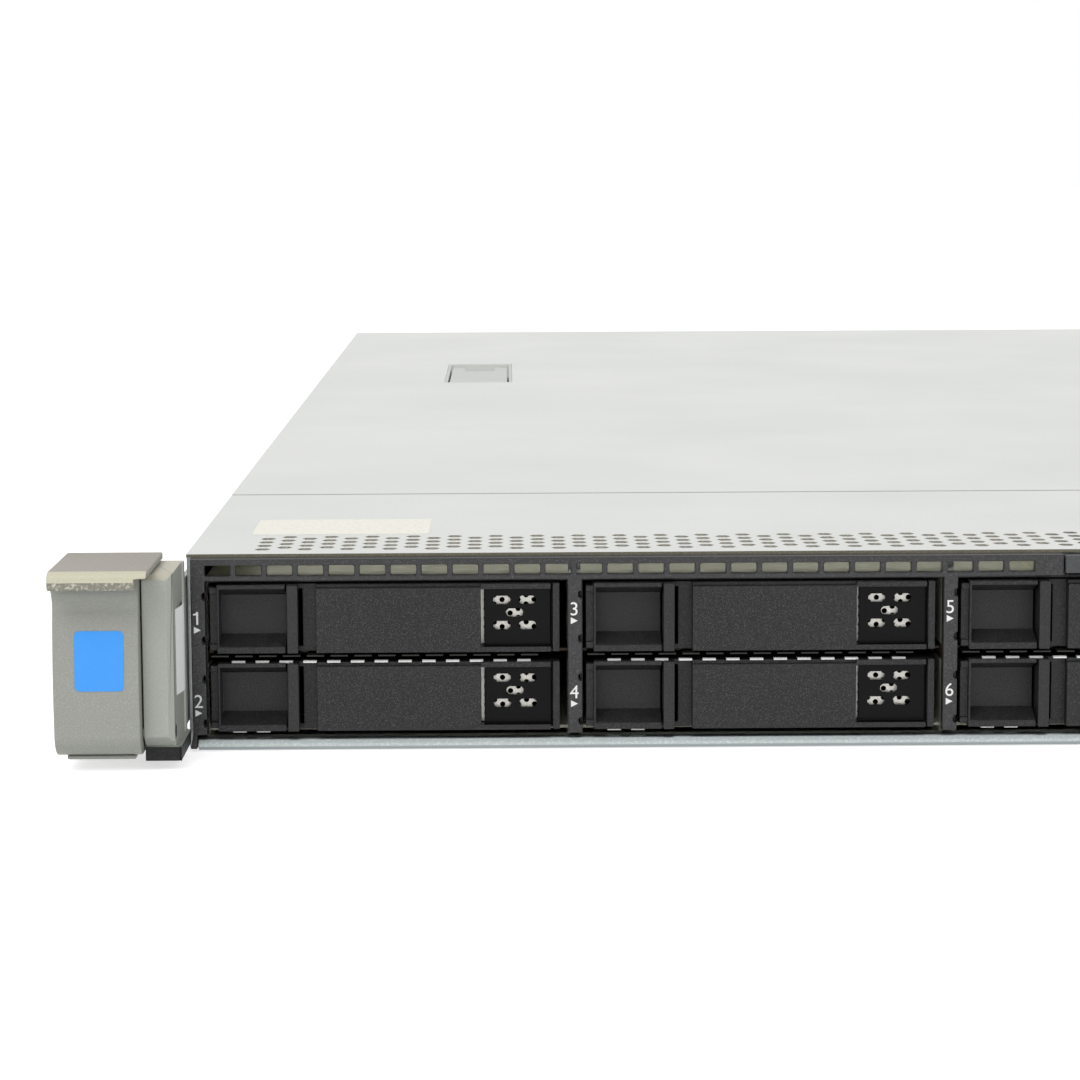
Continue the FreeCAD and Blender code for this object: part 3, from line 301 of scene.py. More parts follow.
def perforated_tree():
    """A flat sheet about the origin with a staggered field of many-sided holes."""
    size = "NodeSocketFloat"
    tree, given, out = node_tree("perforated sheet", [
        ("Width", size), ("Depth", size), ("Thickness", size), ("Hole Radius", size),
        ("Column Pitch", size), ("Row Pitch", size), ("Field Middle", size),
        ("Columns", "NodeSocketInt"), ("Rows", "NodeSocketInt"), ("Sides", "NodeSocketInt")])
    rim = add(tree, "GeometryNodeCurvePrimitiveQuadrilateral", {"Width": given["Width"],
                                                                "Height": given["Depth"]})
    spans = []
    for count, pitch in (("Columns", "Column Pitch"), ("Rows", "Row Pitch")):
        less = add(tree, "ShaderNodeMath", {0: given[count], 1: 1.0}, operation="SUBTRACT")
        spans.append(add(tree, "ShaderNodeMath", {0: less.outputs[0], 1: given[pitch]}, operation="MULTIPLY"))
    field = add(tree, "GeometryNodeMeshGrid", {"Size X": spans[0].outputs[0], "Size Y": spans[1].outputs[0],
                                               "Vertices X": given["Columns"], "Vertices Y": given["Rows"]})
    index = add(tree, "GeometryNodeInputIndex").outputs[0]
    column = add(tree, "ShaderNodeMath", {0: index, 1: given["Rows"]}, operation="DIVIDE")
    column = add(tree, "ShaderNodeMath", {0: column.outputs[0]}, operation="FLOOR")
    odd = add(tree, "ShaderNodeMath", {0: column.outputs[0], 1: 2.0}, operation="MODULO")
    side = add(tree, "ShaderNodeMath", {0: odd.outputs[0], 1: 0.5}, operation="SUBTRACT")
    shift = add(tree, "ShaderNodeMath", {0: side.outputs[0], 1: given["Row Pitch"]}, operation="MULTIPLY")
    shift = add(tree, "ShaderNodeMath", {0: shift.outputs[0], 1: 0.5}, operation="MULTIPLY")
    place = add(tree, "ShaderNodeMath", {0: shift.outputs[0], 1: given["Field Middle"]}, operation="ADD")
    offset = add(tree, "ShaderNodeCombineXYZ", {"Y": place.outputs[0]})
    stagger = add(tree, "GeometryNodeSetPosition", {"Geometry": field.outputs["Mesh"],
                                                    "Offset": offset.outputs[0]})
    hole = add(tree, "GeometryNodeCurvePrimitiveCircle", {"Resolution": given["Sides"],
                                                          "Radius": given["Hole Radius"]})
    holes = add(tree, "GeometryNodeInstanceOnPoints", {"Points": stagger.outputs[0],
                                                       "Instance": hole.outputs[0]})
    holes = add(tree, "GeometryNodeRealizeInstances", {"Geometry": holes.outputs[0]})
    outline = add(tree, "GeometryNodeJoinGeometry")
    tree.links.new(rim.outputs[0], outline.inputs[0])
    tree.links.new(holes.outputs[0], outline.inputs[0])
    filled = add(tree, "GeometryNodeFillCurve", {"Curve": outline.outputs[0]})
    close_tree(tree, given, out, thickened(tree, filled.outputs[0], given["Thickness"]))
    return tree


perforated = perforated_tree()
cover_zinc = grained("brushed_zinc_cover", "#D6D8D4", "#E3E5E2", 0.45, 0.5, 0.85, 0.33, 0.12, cloud_mm=60.0)
plate_low, plate_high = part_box("front_top_plate")
plate_width = plate_high.x - plate_low.x
plate_depth = plate_high.y - plate_low.y
hole_columns = int((plate_width - 2 * HOLE_MARGIN * MM) / (HOLE_PITCH * MM)) + 1
band_middle = HOLE_START + ((HOLE_ROWS - 1) * HOLE_ROW_PITCH + HOLE_ROW_PITCH / 2) / 2
field_middle = front + band_middle * MM - plate_low.y - plate_depth / 2
plate = grown("front_top_plate", perforated, {
    "Width": plate_width, "Depth": plate_depth, "Thickness": PLATE_SHEET * MM,
    "Hole Radius": HOLE_ACROSS / 2 * MM, "Column Pitch": HOLE_PITCH * MM, "Row Pitch": HOLE_ROW_PITCH * MM,
    "Field Middle": field_middle, "Columns": hole_columns, "Rows": HOLE_ROWS, "Sides": HOLE_SIDES,
    "Material": cover_zinc})
plate.transform(Matrix.Translation((0, plate_low.y + plate_depth / 2, plate_low.z)))
sheared = grained("sheared_sheet_edge", "#6E6A5C", "#A39E8C", 0.25, 0.8, 0.3, 0.5, 0.5, rarity=0.52)
# Painted highlight: the walls of the holes take a paler copy of the cut-edge finish.
hole_wall = grained("painted_highlight_hole_wall", "#A5A198", "#C9C5BB", 0.3, 0.8, 0.3, 0.45, 0.4)
plate.materials.clear()
for finish in (cover_zinc, sheared, hole_wall):
    plate.materials.append(finish)
for face in plate.polygons:
    if abs(face.normal.z) < 0.5:
        face.material_index = 1 if face.center.y < plate_low.y + SHEARED_EDGE * MM else 2
settled("front_top_plate.punched", plate, body_of("front_top_plate"), ["front_top_plate"])

# ------------------------------------------------------------------ hood cover
# Long cover of the same brushed zinc sheet, its sides folded down as flanges.
# It slides back along the tray's sides.
dress(cover_zinc, "hood")

# ------------------------------------------------------------------ hood latch
# A cup let into the hood, with a flat lever hinged at its front. Both are
# moulded in pale grey matt plastic, and their edges are slightly rounded.
latch_grey = grained("pale_grey_moulded_latch", "#CFD1CD", "#E0E1DE", 0.4, 0.4, 0.0, 0.5, 0.25)
softened("hood_latch_cup", 0.3, latch_grey)
softened("hood_latch_lever", 0.4, latch_grey)

# ----------------------------------------------------------------- top sticker
# A plain white paper sticker on the plate, left of the middle, slightly worn:
# its corners are rounded and its face is bare.
STICKER = (11.6, 52.2, 33.0, 57.5)
STICKER_THICK = 0.1
STICKER_CORNER = 0.8


def slab(work, near, far):
    """Adds a closed slab between two outlines of as many points."""
    near, far = ([work.verts.new(point) for point in outline] for outline in (near, far))
    work.faces.new(near)
    work.faces.new(far[::-1])
    for i in range(len(near)):
        j = (i + 1) % len(near)
        work.faces.new((near[j], near[i], far[i], far[j]))


def rounded_card(name, x0, x1, y0, y1, z0, thick, corner, material, steps=4):
    """A thin card with rounded corners, lying flat, sizes in metres."""
    ring = []
    for cx, cy, start in ((x1 - corner, y1 - corner, 0), (x0 + corner, y1 - corner, 90),
                          (x0 + corner, y0 + corner, 180), (x1 - corner, y0 + corner, 270)):
        for step in range(steps + 1):
            angle = math.radians(start + 90 * step / steps)
            ring.append((cx + corner * math.cos(angle), cy + corner * math.sin(angle)))
    work = bmesh.new()
    slab(work, [(x, y, z0 + thick) for x, y in ring], [(x, y, z0) for x, y in ring])
    mesh = bpy.data.meshes.new(name)
    work.to_mesh(mesh)
    work.free()
    mesh.materials.append(material)
    return mesh


paper = grained("plain_sticker_paper", "#ECEAE0", "#D8D4C4", 1.2, 0.5, 0.0, 0.6, 0.1)
starts = (plate_low.x, plate_low.x, front, front)
sides = [start + reach * MM for start, reach in zip(starts, STICKER)]
card = rounded_card("top_sticker", *sides, plate_low.z + PLATE_SHEET * MM, STICKER_THICK * MM,
                    STICKER_CORNER * MM, paper)
settled("top_sticker", card, body_of("front_top_plate"))

# ------------------------------------------------------------------ serial tab
# A card that pulls out from under the top plate. It is moulded in dark grey
# plastic, with a plain face and rounded edges.
tab_grey = grained("dark_grey_pull_tab", "#3A3C3E", "#56585A", 0.35, 0.5, 0.0, 0.45, 0.4)
softened("serial_tab", 0.3, tab_grey)

# ---------------------------------------------------------------- drive blanks
# Eight identical blanks of speckled black ABS, spark-eroded so that the light
# picks out a fine pale grain; the edges of each moulding are slightly rounded.
ROWS = 2
COLUMNS = 4
blank_plastic = grained("spark_eroded_black_abs", "#171718", "#626164", 0.17, 0.65, 0.0, 0.44, 0.7,
                        sheen=0.34, rarity=0.53)
# Painted shade: the sunken grille's faces take a darker, less shiny copy of the black plastic.
vent_shade_gloss = grained("painted_shade_black_abs", "#050506", "#0C0C0D", 0.5, 0.6, 0.0, 0.3, 0.1, sheen=0.12)
VENT = (60.0, 74.5)
VENT_FLOOR = 0.4


def in_vent(node):
    """A test for the faces of a blank's sunken grille."""
    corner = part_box(node)[0] / MM
    return lambda p: VENT[0] < p.x - corner.x < VENT[1] and p.y - front / MM > VENT_FLOOR


for number in range(1, ROWS * COLUMNS + 1):
    name = f"drive_blank_{number}"
    softened(name, 0.17, blank_plastic, others=[vent_shade_gloss], where=in_vent(name))

# ------------------------------------------------------------ blank latch bars
# The sprung upright bar beside each blank's finger scoop. It is moulded in the
# same black plastic, but smoother and glossier.
latch_plastic = grained("satin_black_latch_bar", "#161617", "#464648", 0.22, 0.7, 0.0, 0.38, 0.5, sheen=0.4,
                        rarity=0.52)
for number in range(1, ROWS * COLUMNS + 1):
    softened(f"blank_latch_{number}", 0.3, latch_plastic)

# ------------------------------------------------------------- media bay blank
# The double-height blank of the fifth column, moulded in the same speckled
# black plastic.
softened("media_bay_blank", 0.3, blank_plastic)

# ---------------------------------------------------------------- ear brackets
# Die-cast brackets bolted to the tray's sides, painted warm grey. Each has a
# matt black foot, and its top edge is painted paler as a painted highlight.
bracket_paint = grained("warm_grey_bracket_paint", "#9DA199", "#B4B7AF", 0.2, 0.6, 0.15, 0.42, 0.35)
# Painted highlight: a paler copy of the paint along the bracket's top edge.
bracket_edge_highlight = grained("painted_highlight_bracket_edge", "#B2AE9E", "#C6C2B3", 0.2, 0.5, 0.15, 0.42, 0.3)
foot_rubber = grained("matt_black_foot", "#161617", "#2A2A2C", 0.5, 0.6, 0.0, 0.6, 0.4, sheen=0.3)
FOOT_TOP = 4.99
FOOT_FRONT = 2.1
TOP_HIGHLIGHT_BAND = 1.4
bracket_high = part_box("ear_bracket_left")[1].z / MM


def bracket_finish(p):
    """Foot below, painted highlight along the top edge, paint between."""
    if p.z < FOOT_TOP and p.y < front / MM - FOOT_FRONT:
        return 1
    return 2 if p.z > bracket_high - TOP_HIGHLIGHT_BAND else 0


for side in ("left", "right"):
    softened(f"ear_bracket_{side}", 0.2, bracket_paint, others=[foot_rubber, bracket_edge_highlight],
             where=bracket_finish)

# ------------------------------------------------------------------ ear levers
# Die-cast quick-release levers, each on a pin in its bracket. Their warm grey
# speckled paint carries bright and dark scuffs along the overhanging lip, whose
# rounded top edge is painted paler as a painted highlight.
lever_paint = grained("speckled_warm_grey_paint", "#8F918A", "#ABADA5", 0.2, 0.6, 0.2, 0.42, 0.4)
# The lever's roof takes a darker, warmer copy of the paint.
roof_paint = grained("darker_roof_paint", "#8B857B", "#A29C92", 0.3, 0.6, 0.1, 0.45, 0.4)
# Painted highlight: a paler copy of the paint on the lip's rounded top edge.
lip_highlight_paint = grained("painted_highlight_lip", "#BFBCA6", "#CFCCB8", 0.3, 0.6, 0.2, 0.38, 0.3)
scuffed_paint = grained("scuffed_lip_band", "#7F7C71", "#C4C1B3", 0.7, 0.9, 0.3, 0.4, 0.8, rarity=0.5)
ROOF_SKIN = 0.05
LIP_HIGHLIGHT = 2.3
LIP_SCUFFED = 4.1
LIP_DEPTH = 4.0
lever_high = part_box("ear_lever_left")[1].z / MM
lever_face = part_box("ear_lever_left")[0].y / MM + LIP_DEPTH


def lever_finish(p):
    """Darker roof, painted highlight on the lip's top edge, scuffed band below it, paint elsewhere."""
    down = lever_high - p.z
    if down < ROOF_SKIN:
        return 1
    if p.y > lever_face or down > LIP_SCUFFED:
        return 0
    return 2 if down < LIP_HIGHLIGHT else 3


PIVOT_RADIUS = 2.2
pins_low, pins_high = (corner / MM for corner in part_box("ear_pins"))
pivot_y = (pins_low.y + pins_high.y) / 2
pivot_z = (pins_low.z + pins_high.z) / 2


def at_pivot(p):
    """True for the rim of the pivot bore, which stays sharp."""
    return math.hypot(p.y - pivot_y, p.z - pivot_z) < PIVOT_RADIUS


for side in ("left", "right"):
    softened(f"ear_lever_{side}", 0.3, lever_paint, angle=55, sharp=at_pivot,
             others=[roof_paint, lip_highlight_paint, scuffed_paint], where=lever_finish)

# ------------------------------------------------------- pins, strips, fixings
# Turned steel hinge pins, plated rail studs and rivets, and the pale contact
# strips of plated sheet that ground the ears.
bright = grained("bright_plated_steel", "#C8CBCB", "#E2E4E4", 0.4, 0.4, 1.0, 0.25, 0.15)
dress(bright, "ear_pins", "rail_studs", "rivets_and_posts")
# Painted highlight: the contact strips are painted matt near-white instead of shown as metal.
contact_highlight = grained("contact_strip_painted_highlight", "#F0F5F3", "#FFFFFF", 0.4, 0.4, 0.0, 0.35, 0.1)
dress(contact_highlight, "grounding_strips")

# --------------------------------------------------------------- control panel
# Black moulded panel at the front's right end, with two pale grey push buttons
# and one socket in a plated shell.
panel_black = grained("satin_black_panel", "#1B1C1E", "#37383B", 0.35, 0.6, 0.0, 0.4, 0.5)
softened("control_panel", 0.25, panel_black)
button_plastic = grained("pale_grey_button", "#C9CCCE", "#DADCDD", 0.4, 0.4, 0.0, 0.35, 0.2)
softened("power_button", 0.35, button_plastic)
softened("uid_button", 0.3, button_plastic)
dress(bright, "front_usb_socket")

# ---------------------------------------------------------------------- inside
# What the hood covers: green circuit boards, black moulded fans and air
# baffle, and heatsinks of extruded aluminium.
board_green = grained("green_board", "#1F4A35", "#2F6248", 1.5, 0.5, 0.0, 0.4, 0.2)
dress(board_green, "drive_backplane", "system_board", "memory_modules")
fan_black = grained("black_fan_plastic", "#202123", "#35363A", 0.6, 0.5, 0.0, 0.45, 0.3)
dress(fan_black, "fan_frames", "air_baffle", *[f"fan_rotor_{n}" for n in range(1, 8)])
aluminium = grained("extruded_aluminium", "#C9CCCE", "#DCDEDF", 0.5, 0.4, 1.0, 0.3, 0.2)
dress(aluminium, "heatsink_1", "heatsink_2")

# ------------------------------------------------------------------------ rear
# Zinc rear panel with blank slot covers and sockets, whose shells are bright
# and whose insides are black.
panel_zinc = grained("rear_panel_zinc", "#9DA4A4", "#BCC2C2", 0.5, 0.5, 1.0, 0.34, 0.2)
cover_blank_zinc = grained("slot_cover_zinc", "#B9BDBB", "#D2D5D3", 0.5, 0.5, 1.0, 0.3, 0.2)
dress(panel_zinc, "rear_panel", "riser_cage")
dress(cover_blank_zinc, "slot_covers")
socket_black = grained("black_socket_plastic", "#0D0D0F", "#222326", 0.4, 0.5, 0.0, 0.4, 0.2, sheen=0.3)
SOCKET_RIM = 1.0
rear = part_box("rear_panel")[1].y / MM
for name in ("rear_sockets", "network_module"):
    softened(name, 0.12, bright, others=[socket_black],
             where=lambda p: p.y < rear - SOCKET_RIM, merge=False)

# -------------------------------------------------------------- power supplies
# Plug-in supplies: zinc case, black moulded inlet and black grip loop, each
# held by a sprung catch.
supply_zinc = grained("supply_case_zinc", "#A9ADAC", "#C2C6C5", 0.5, 0.5, 1.0, 0.36, 0.2)
CASE_SKIN = 0.4
CASE_RIM = 1.5
INLET_DEPTH = 15.5


def in_supply(node):
    """A test for the black faces of a supply: its grip loop and the walls of its recesses."""
    low, high = (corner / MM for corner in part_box(node))

    def black(p):
        """True outside the case, and between its skin and the recesses' floors."""
        if p.y > rear + CASE_SKIN:
            return True
        return (rear - INLET_DEPTH < p.y < rear - CASE_SKIN and low.x + CASE_RIM < p.x < high.x - CASE_RIM
                and low.z + CASE_RIM < p.z < high.z - CASE_RIM)
    return black


for number in (1, 2):
    softened(f"power_supply_{number}", 0.2, supply_zinc, others=[socket_black],
             where=in_supply(f"power_supply_{number}"), merge=False)
    softened(f"supply_catch_{number}", 0.3, latch_plastic)

# ----------------------------------------------------------------- rear screws
# Small zinc-plated pan-head screws with a crossed recess: they hold the slot
# covers and the rear panel. One tree turns a screw and sets it at each place.


def in_row(tree, given, shape):
    """Copies of a shape along X, by the tree's pitch and count."""
    step = add(tree, "ShaderNodeCombineXYZ", {"X": given["Pitch"]})
    line = add(tree, "GeometryNodeMeshLine", {"Count": given["Count"], "Offset": step.outputs[0]})
    row = add(tree, "GeometryNodeInstanceOnPoints", {"Points": line.outputs[0], "Instance": shape})
    return row.outputs[0]


def screw_tree():
    """Pan-head screws facing +Z about the origin, one at each point of a line."""
    size = "NodeSocketFloat"
    tree, given, out = node_tree("pan head screws", [
        ("Head Radius", size), ("Head Height", size), ("Recess Length", size), ("Recess Width", size),
        ("Pitch", size), ("Count", "NodeSocketInt")])
    head = add(tree, "GeometryNodeMeshCylinder", {"Vertices": 24, "Radius": given["Head Radius"],
                                                  "Depth": given["Head Height"]})
    deep = add(tree, "ShaderNodeCombineXYZ", {"X": given["Recess Length"], "Y": given["Recess Width"],
                                              "Z": given["Head Height"]})
    bar = add(tree, "GeometryNodeMeshCube", {"Size": deep.outputs[0]})
    half = add(tree, "ShaderNodeMath", {0: given["Head Height"], 1: 0.5}, operation="MULTIPLY")
    raised = add(tree, "ShaderNodeCombineXYZ", {"Z": half.outputs[0]})
    first = add(tree, "GeometryNodeTransform", {"Geometry": bar.outputs[0],
                                                "Translation": raised.outputs[0]})
    second = add(tree, "GeometryNodeTransform", {"Geometry": first.outputs[0],
                                                 "Rotation": (0.0, 0.0, math.pi / 2)})
    cut = add(tree, "GeometryNodeMeshBoolean", {"Mesh 1": head.outputs[0]}, operation="DIFFERENCE")
    tree.links.new(first.outputs[0], cut.inputs["Mesh 2"])
    tree.links.new(second.outputs[0], cut.inputs["Mesh 2"])
    close_tree(tree, given, out, in_row(tree, given, cut.outputs[0]))
    return tree


def in_order(mesh):
    """A one-finish mesh with its corners and faces in order of place, the same on every run."""
    places = sorted(range(len(mesh.vertices)), key=lambda i: mesh.vertices[i].co[:])
    rank = {old: new for new, old in enumerate(places)}
    rings = [[rank[i] for i in face.vertices] for face in mesh.polygons]
    starts = [ring.index(min(ring)) for ring in rings]
    ordered = bpy.data.meshes.new(mesh.name)
    ordered.from_pydata([mesh.vertices[i].co for i in places], [],
                        sorted(ring[start:] + ring[:start] for ring, start in zip(rings, starts)))
    ordered.materials.append(mesh.materials[mesh.polygons[0].material_index])
    return ordered


SCREW_RADIUS = 2.1
SCREW_HEIGHT = 1.2
SCREW_SINK = 0.05
RECESS_LENGTH = 2.8
RECESS_WIDTH = 0.7
SCREW_PITCH = 65.0
SCREW_COUNT = 5
SCREW_PLACE = (-61.0, 4.0)
screw_zinc = grained("zinc_plated_screw", "#C3C7C7", "#E2E5E5", 0.3, 0.4, 1.0, 0.26, 0.1)
screws = in_order(grown("rear_screws", screw_tree(), {
    "Head Radius": SCREW_RADIUS * MM, "Head Height": SCREW_HEIGHT * MM,
    "Recess Length": RECESS_LENGTH * MM, "Recess Width": RECESS_WIDTH * MM, "Pitch": SCREW_PITCH * MM,
    "Count": SCREW_COUNT, "Material": screw_zinc}))
backward = Matrix.Rotation(math.radians(-90), 4, "X")
place = Vector((SCREW_PLACE[0] * MM, (rear + SCREW_HEIGHT / 2 - SCREW_SINK) * MM, SCREW_PLACE[1] * MM))
screws.transform(Matrix.Translation(place) @ backward)
settled("rear_screws", screws, body_of("rear_panel"))

# -------------------------------------------------- bright gauze in the blanks
# A perforated strip of bright tinned steel lies behind each blank's grille and
# shows through its slots and through the slit beside them.
GAUZE = (59.0, 74.0)
GAUZE_HEIGHT = 12.4
GAUZE_BACK = 3.45
GAUZE_SHEET = 0.25
GAUZE_HOLE_RADIUS = 0.62
GAUZE_HOLE_SIDES = 8
GAUZE_PITCH = 1.75
GAUZE_ROW_PITCH = 2.0
GAUZE_COLUMNS = 8
GAUZE_ROWS = 5
BLANK_HEIGHT = 15.1
tinned = grained("bright_tinned_steel", "#E9E6DE", "#FFFDF6", 0.7, 0.6, 0.35, 0.35, 0.2)
gauze = grown("gauze", perforated, {
    "Width": (GAUZE[1] - GAUZE[0]) * MM, "Depth": GAUZE_HEIGHT * MM, "Thickness": GAUZE_SHEET * MM,
    "Hole Radius": GAUZE_HOLE_RADIUS * MM, "Column Pitch": GAUZE_PITCH * MM,
    "Row Pitch": GAUZE_ROW_PITCH * MM, "Field Middle": 0.0, "Columns": GAUZE_COLUMNS, "Rows": GAUZE_ROWS,
    "Sides": GAUZE_HOLE_SIDES, "Material": tinned})
upright = Matrix.Rotation(math.radians(90), 4, "X")
for number in range(1, ROWS * COLUMNS + 1):
    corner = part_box(f"drive_blank_{number}")[0]
    place = Vector((sum(GAUZE) / 2 * MM, 0, BLANK_HEIGHT / 2 * MM)) + corner
    place.y = front + (GAUZE_BACK + GAUZE_SHEET) * MM
    mesh = gauze.copy()
    mesh.transform(Matrix.Translation(place) @ upright)
    settled(f"blank_gauze_{number}", mesh, f"blank_{number}")

# -------------------------------------------------------------- spring fingers
# Short bowed contact fingers of bright spring steel. A strip of them lies on
# the top edge of each lower blank, and two stand under it on the tray's shelf.


def finger_tree():
    """A row of bowed leaves along X, each drawn from a bent grid and thickened."""
    size = "NodeSocketFloat"
    tree, given, out = node_tree("spring fingers", [
        ("Width", size), ("Reach", size), ("Rise", size), ("Thickness", size), ("Pitch", size),
        ("Count", "NodeSocketInt")])
    leaf = add(tree, "GeometryNodeMeshGrid", {"Size X": given["Width"], "Size Y": given["Reach"],
                                              "Vertices X": 2, "Vertices Y": 7})
    place = add(tree, "GeometryNodeInputPosition").outputs[0]
    along = add(tree, "ShaderNodeSeparateXYZ", {0: place}).outputs["Y"]
    half = add(tree, "ShaderNodeMath", {0: given["Reach"], 1: 0.5}, operation="MULTIPLY")
    share = add(tree, "ShaderNodeMath", {0: along, 1: half.outputs[0]}, operation="DIVIDE")
    square = add(tree, "ShaderNodeMath", {0: share.outputs[0], 1: 2.0}, operation="POWER")
    drop = add(tree, "ShaderNodeMath", {0: 1.0, 1: square.outputs[0]}, operation="SUBTRACT")
    lift = add(tree, "ShaderNodeMath", {0: drop.outputs[0], 1: given["Rise"]}, operation="MULTIPLY")
    up = add(tree, "ShaderNodeCombineXYZ", {"Z": lift.outputs[0]})
    bowed = add(tree, "GeometryNodeSetPosition", {"Geometry": leaf.outputs["Mesh"], "Offset": up.outputs[0]})
    sheet = thickened(tree, bowed.outputs[0], given["Thickness"])
    close_tree(tree, given, out, in_row(tree, given, sheet))
    return tree


FINGER_WIDTH = 2.9
FINGER_PITCH = 5.2
FINGER_REACH = 1.6
FINGER_RISE = 0.15
FINGER_SHEET = 0.28
FINGER_START = 6.2
TOP_COUNT = 13
TOP_BACK = 1.5
TOP_SINK = 0.05
SHELF_COUNT = 2
SHELF_BACK = 2.4
SHELF_DROP = 0.55
spring = grained("bright_spring_steel", "#ECEDEB", "#FBFBFB", 0.5, 0.5, 0.15, 0.35, 0.1)
leaves = finger_tree()


def finger_strips(name, count, back, up, body):
    """One strip of fingers for each column, set from the corner of its lower blank."""
    strip = grown(name, leaves, {
        "Width": FINGER_WIDTH * MM, "Reach": FINGER_REACH * MM, "Rise": FINGER_RISE * MM,
        "Thickness": FINGER_SHEET * MM, "Pitch": FINGER_PITCH * MM, "Count": count, "Material": spring})
    for number in range(ROWS, ROWS * COLUMNS + 1, ROWS):
        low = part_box(f"drive_blank_{number}")[0]
        mesh = strip.copy()
        mesh.transform(Matrix.Translation((low.x + FINGER_START * MM, front + back * MM, low.z + up * MM)))
        settled(f"{name}_{number}", mesh, body.format(number))


finger_strips("blank_fingers", TOP_COUNT, TOP_BACK, BLANK_HEIGHT - TOP_SINK, "blank_{}")
finger_strips("shelf_fingers", SHELF_COUNT, SHELF_BACK, -SHELF_DROP, "chassis")

# ------------------------------------------------------------------ bay digits
# White pad-printed bay numbers on the dividers, each with a small triangle
# that points at its bay.
DIGIT_HEIGHT = 2.75
CAPITAL_SHARE = 0.66
DIGIT_ASIDE = 1.4
DIVIDER_WIDTH = 3.1
DIVIDER_GAP = 0.85
DIGIT_INK = 0.03
DIGIT_Z = (30.9, 12.5)
FIRST_DIGIT_DROP = 1.6
TRIANGLE = 1.5
TRIANGLE_DROP = 2.45
FLAG = ((-0.9, 0.85), (-0.21, 0.85), (-0.21, 1.35), (-0.9, 1.1))
ink = grained("white_pad_print", "#E4E4E1", "#F4F4F2", 0.4, 0.4, 0.0, 0.5, 0.05)
divider_lefts = [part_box(f"drive_blank_{ROWS * column + 1}")[0].x - (DIVIDER_WIDTH + DIVIDER_GAP) * MM
                 for column in range(COLUMNS)]


def inked(work, outline):
    """Adds a thin closed patch of ink on the divider's face, from its (x, z) outline."""
    slab(work, *([(x, y, z) for x, z in outline] for y in (front - DIGIT_INK * MM, front)))


def printed(number, x, z):
    """One bay number and its triangle as a thin closed mesh on the divider's face."""
    curve = bpy.data.curves.new(f"digit_{number}", "FONT")
    curve.body = str(number)
    curve.size = DIGIT_HEIGHT / CAPITAL_SHARE * MM
    curve.align_x = "CENTER"
    curve.align_y = "CENTER"
    curve.extrude = DIGIT_INK / 2 * MM
    text = bpy.data.objects.new(f"digit_{number}", curve)
    bpy.context.scene.collection.objects.link(text)
    mesh = baked(text)
    mesh.transform(Matrix.Translation((x, front - DIGIT_INK / 2 * MM, z)) @ upright)
    work = bmesh.new()
    work.from_mesh(mesh)
    if number == 1:
        inked(work, [(x + across * MM, z + up * MM) for across, up in FLAG])
    half = TRIANGLE / 2 * MM
    low = z - TRIANGLE_DROP * MM
    inked(work, [(x - half, low - half), (x + half, low), (x - half, low + half)])
    bmesh.ops.recalc_face_normals(work, faces=work.faces)
    work.to_mesh(mesh)
    work.free()
    mesh.materials.clear()
    mesh.materials.append(ink)
    return mesh


for number in range(1, ROWS * COLUMNS + 1):
    column, row = divmod(number - 1, ROWS)
    middle = divider_lefts[column] + DIGIT_ASIDE * MM
    drop = FIRST_DIGIT_DROP if column == 0 else 0.0
    settled(f"bay_digit_{number}", printed(number, middle, (DIGIT_Z[row] - drop) * MM), "chassis")

# ----------------------------------------------------------------- ear sticker
# A plain blue plastic sticker with rounded corners on the left ear lever's
# face. It is bare and follows the face's slight curve.
BADGE_WIDTH = 10.3
BADGE_LOW = 18.2
BADGE_HIGH = 30.9
BADGE_ASIDE = 0.75
BADGE_THICK = 0.12
ROOF_LAP = 2.6
BADGE_CORNER = 1.0
badge_blue = grained("plain_blue_sticker", "#3A97EE", "#409BF0", 1.5, 0.4, 0.0, 0.35, 0.03)


def curved_card(name, node, middle, width, low, high, corner, thick, material, steps=24):
    """A thin card with rounded corners, laid over the front of a node, sizes in metres."""
    mesh = frame["nodes"][node].data
    target = BVHTree.FromPolygons([v.co for v in mesh.vertices], [f.vertices for f in mesh.polygons])
    work = bmesh.new()
    rings = []
    for step in range(steps + 1):
        z = low + (high - low) * (0.5 - 0.5 * math.cos(math.pi * step / steps))
        inset = max(0.0, corner - min(z - low, high - z))
        half = width / 2 - (corner - math.sqrt(corner ** 2 - inset ** 2))
        hit = target.ray_cast(Vector((middle, -1.0, z)), Vector((0, 1, 0)))[0].y
        rings.append([work.verts.new((x, y, z)) for x, y in (
            (middle - half, hit - thick), (middle + half, hit - thick),
            (middle + half, hit + thick), (middle - half, hit + thick))])
    for lower, upper in zip(rings, rings[1:]):
        for i in range(4):
            j = (i + 1) % 4
            work.faces.new((lower[i], lower[j], upper[j], upper[i]))
    work.faces.new(rings[0])
    work.faces.new(rings[-1])
    bmesh.ops.recalc_face_normals(work, faces=work.faces)
    mesh = bpy.data.meshes.new(name)
    work.to_mesh(mesh)
    work.free()
    mesh.materials.append(material)
    return mesh


low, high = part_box("ear_lever_left")
middle = (low.x + high.x - ROOF_LAP * MM) / 2 + BADGE_ASIDE * MM
card = curved_card("ear_sticker", "ear_lever_left", middle, BADGE_WIDTH * MM, BADGE_LOW * MM, BADGE_HIGH * MM,
                   BADGE_CORNER * MM, BADGE_THICK * MM, badge_blue)
settled("ear_sticker", card, "lever_left")

# ---------------------------------------------------------- floor and backdrop
# A plain pale floor that runs on past the view; it shows as white and keeps
# the object's soft contact shadow.


FLOOR = 6.0
FLOOR_DROP = 0.2
FLOOR_LIT = 0.8
FLOOR_GLOW = 0.62


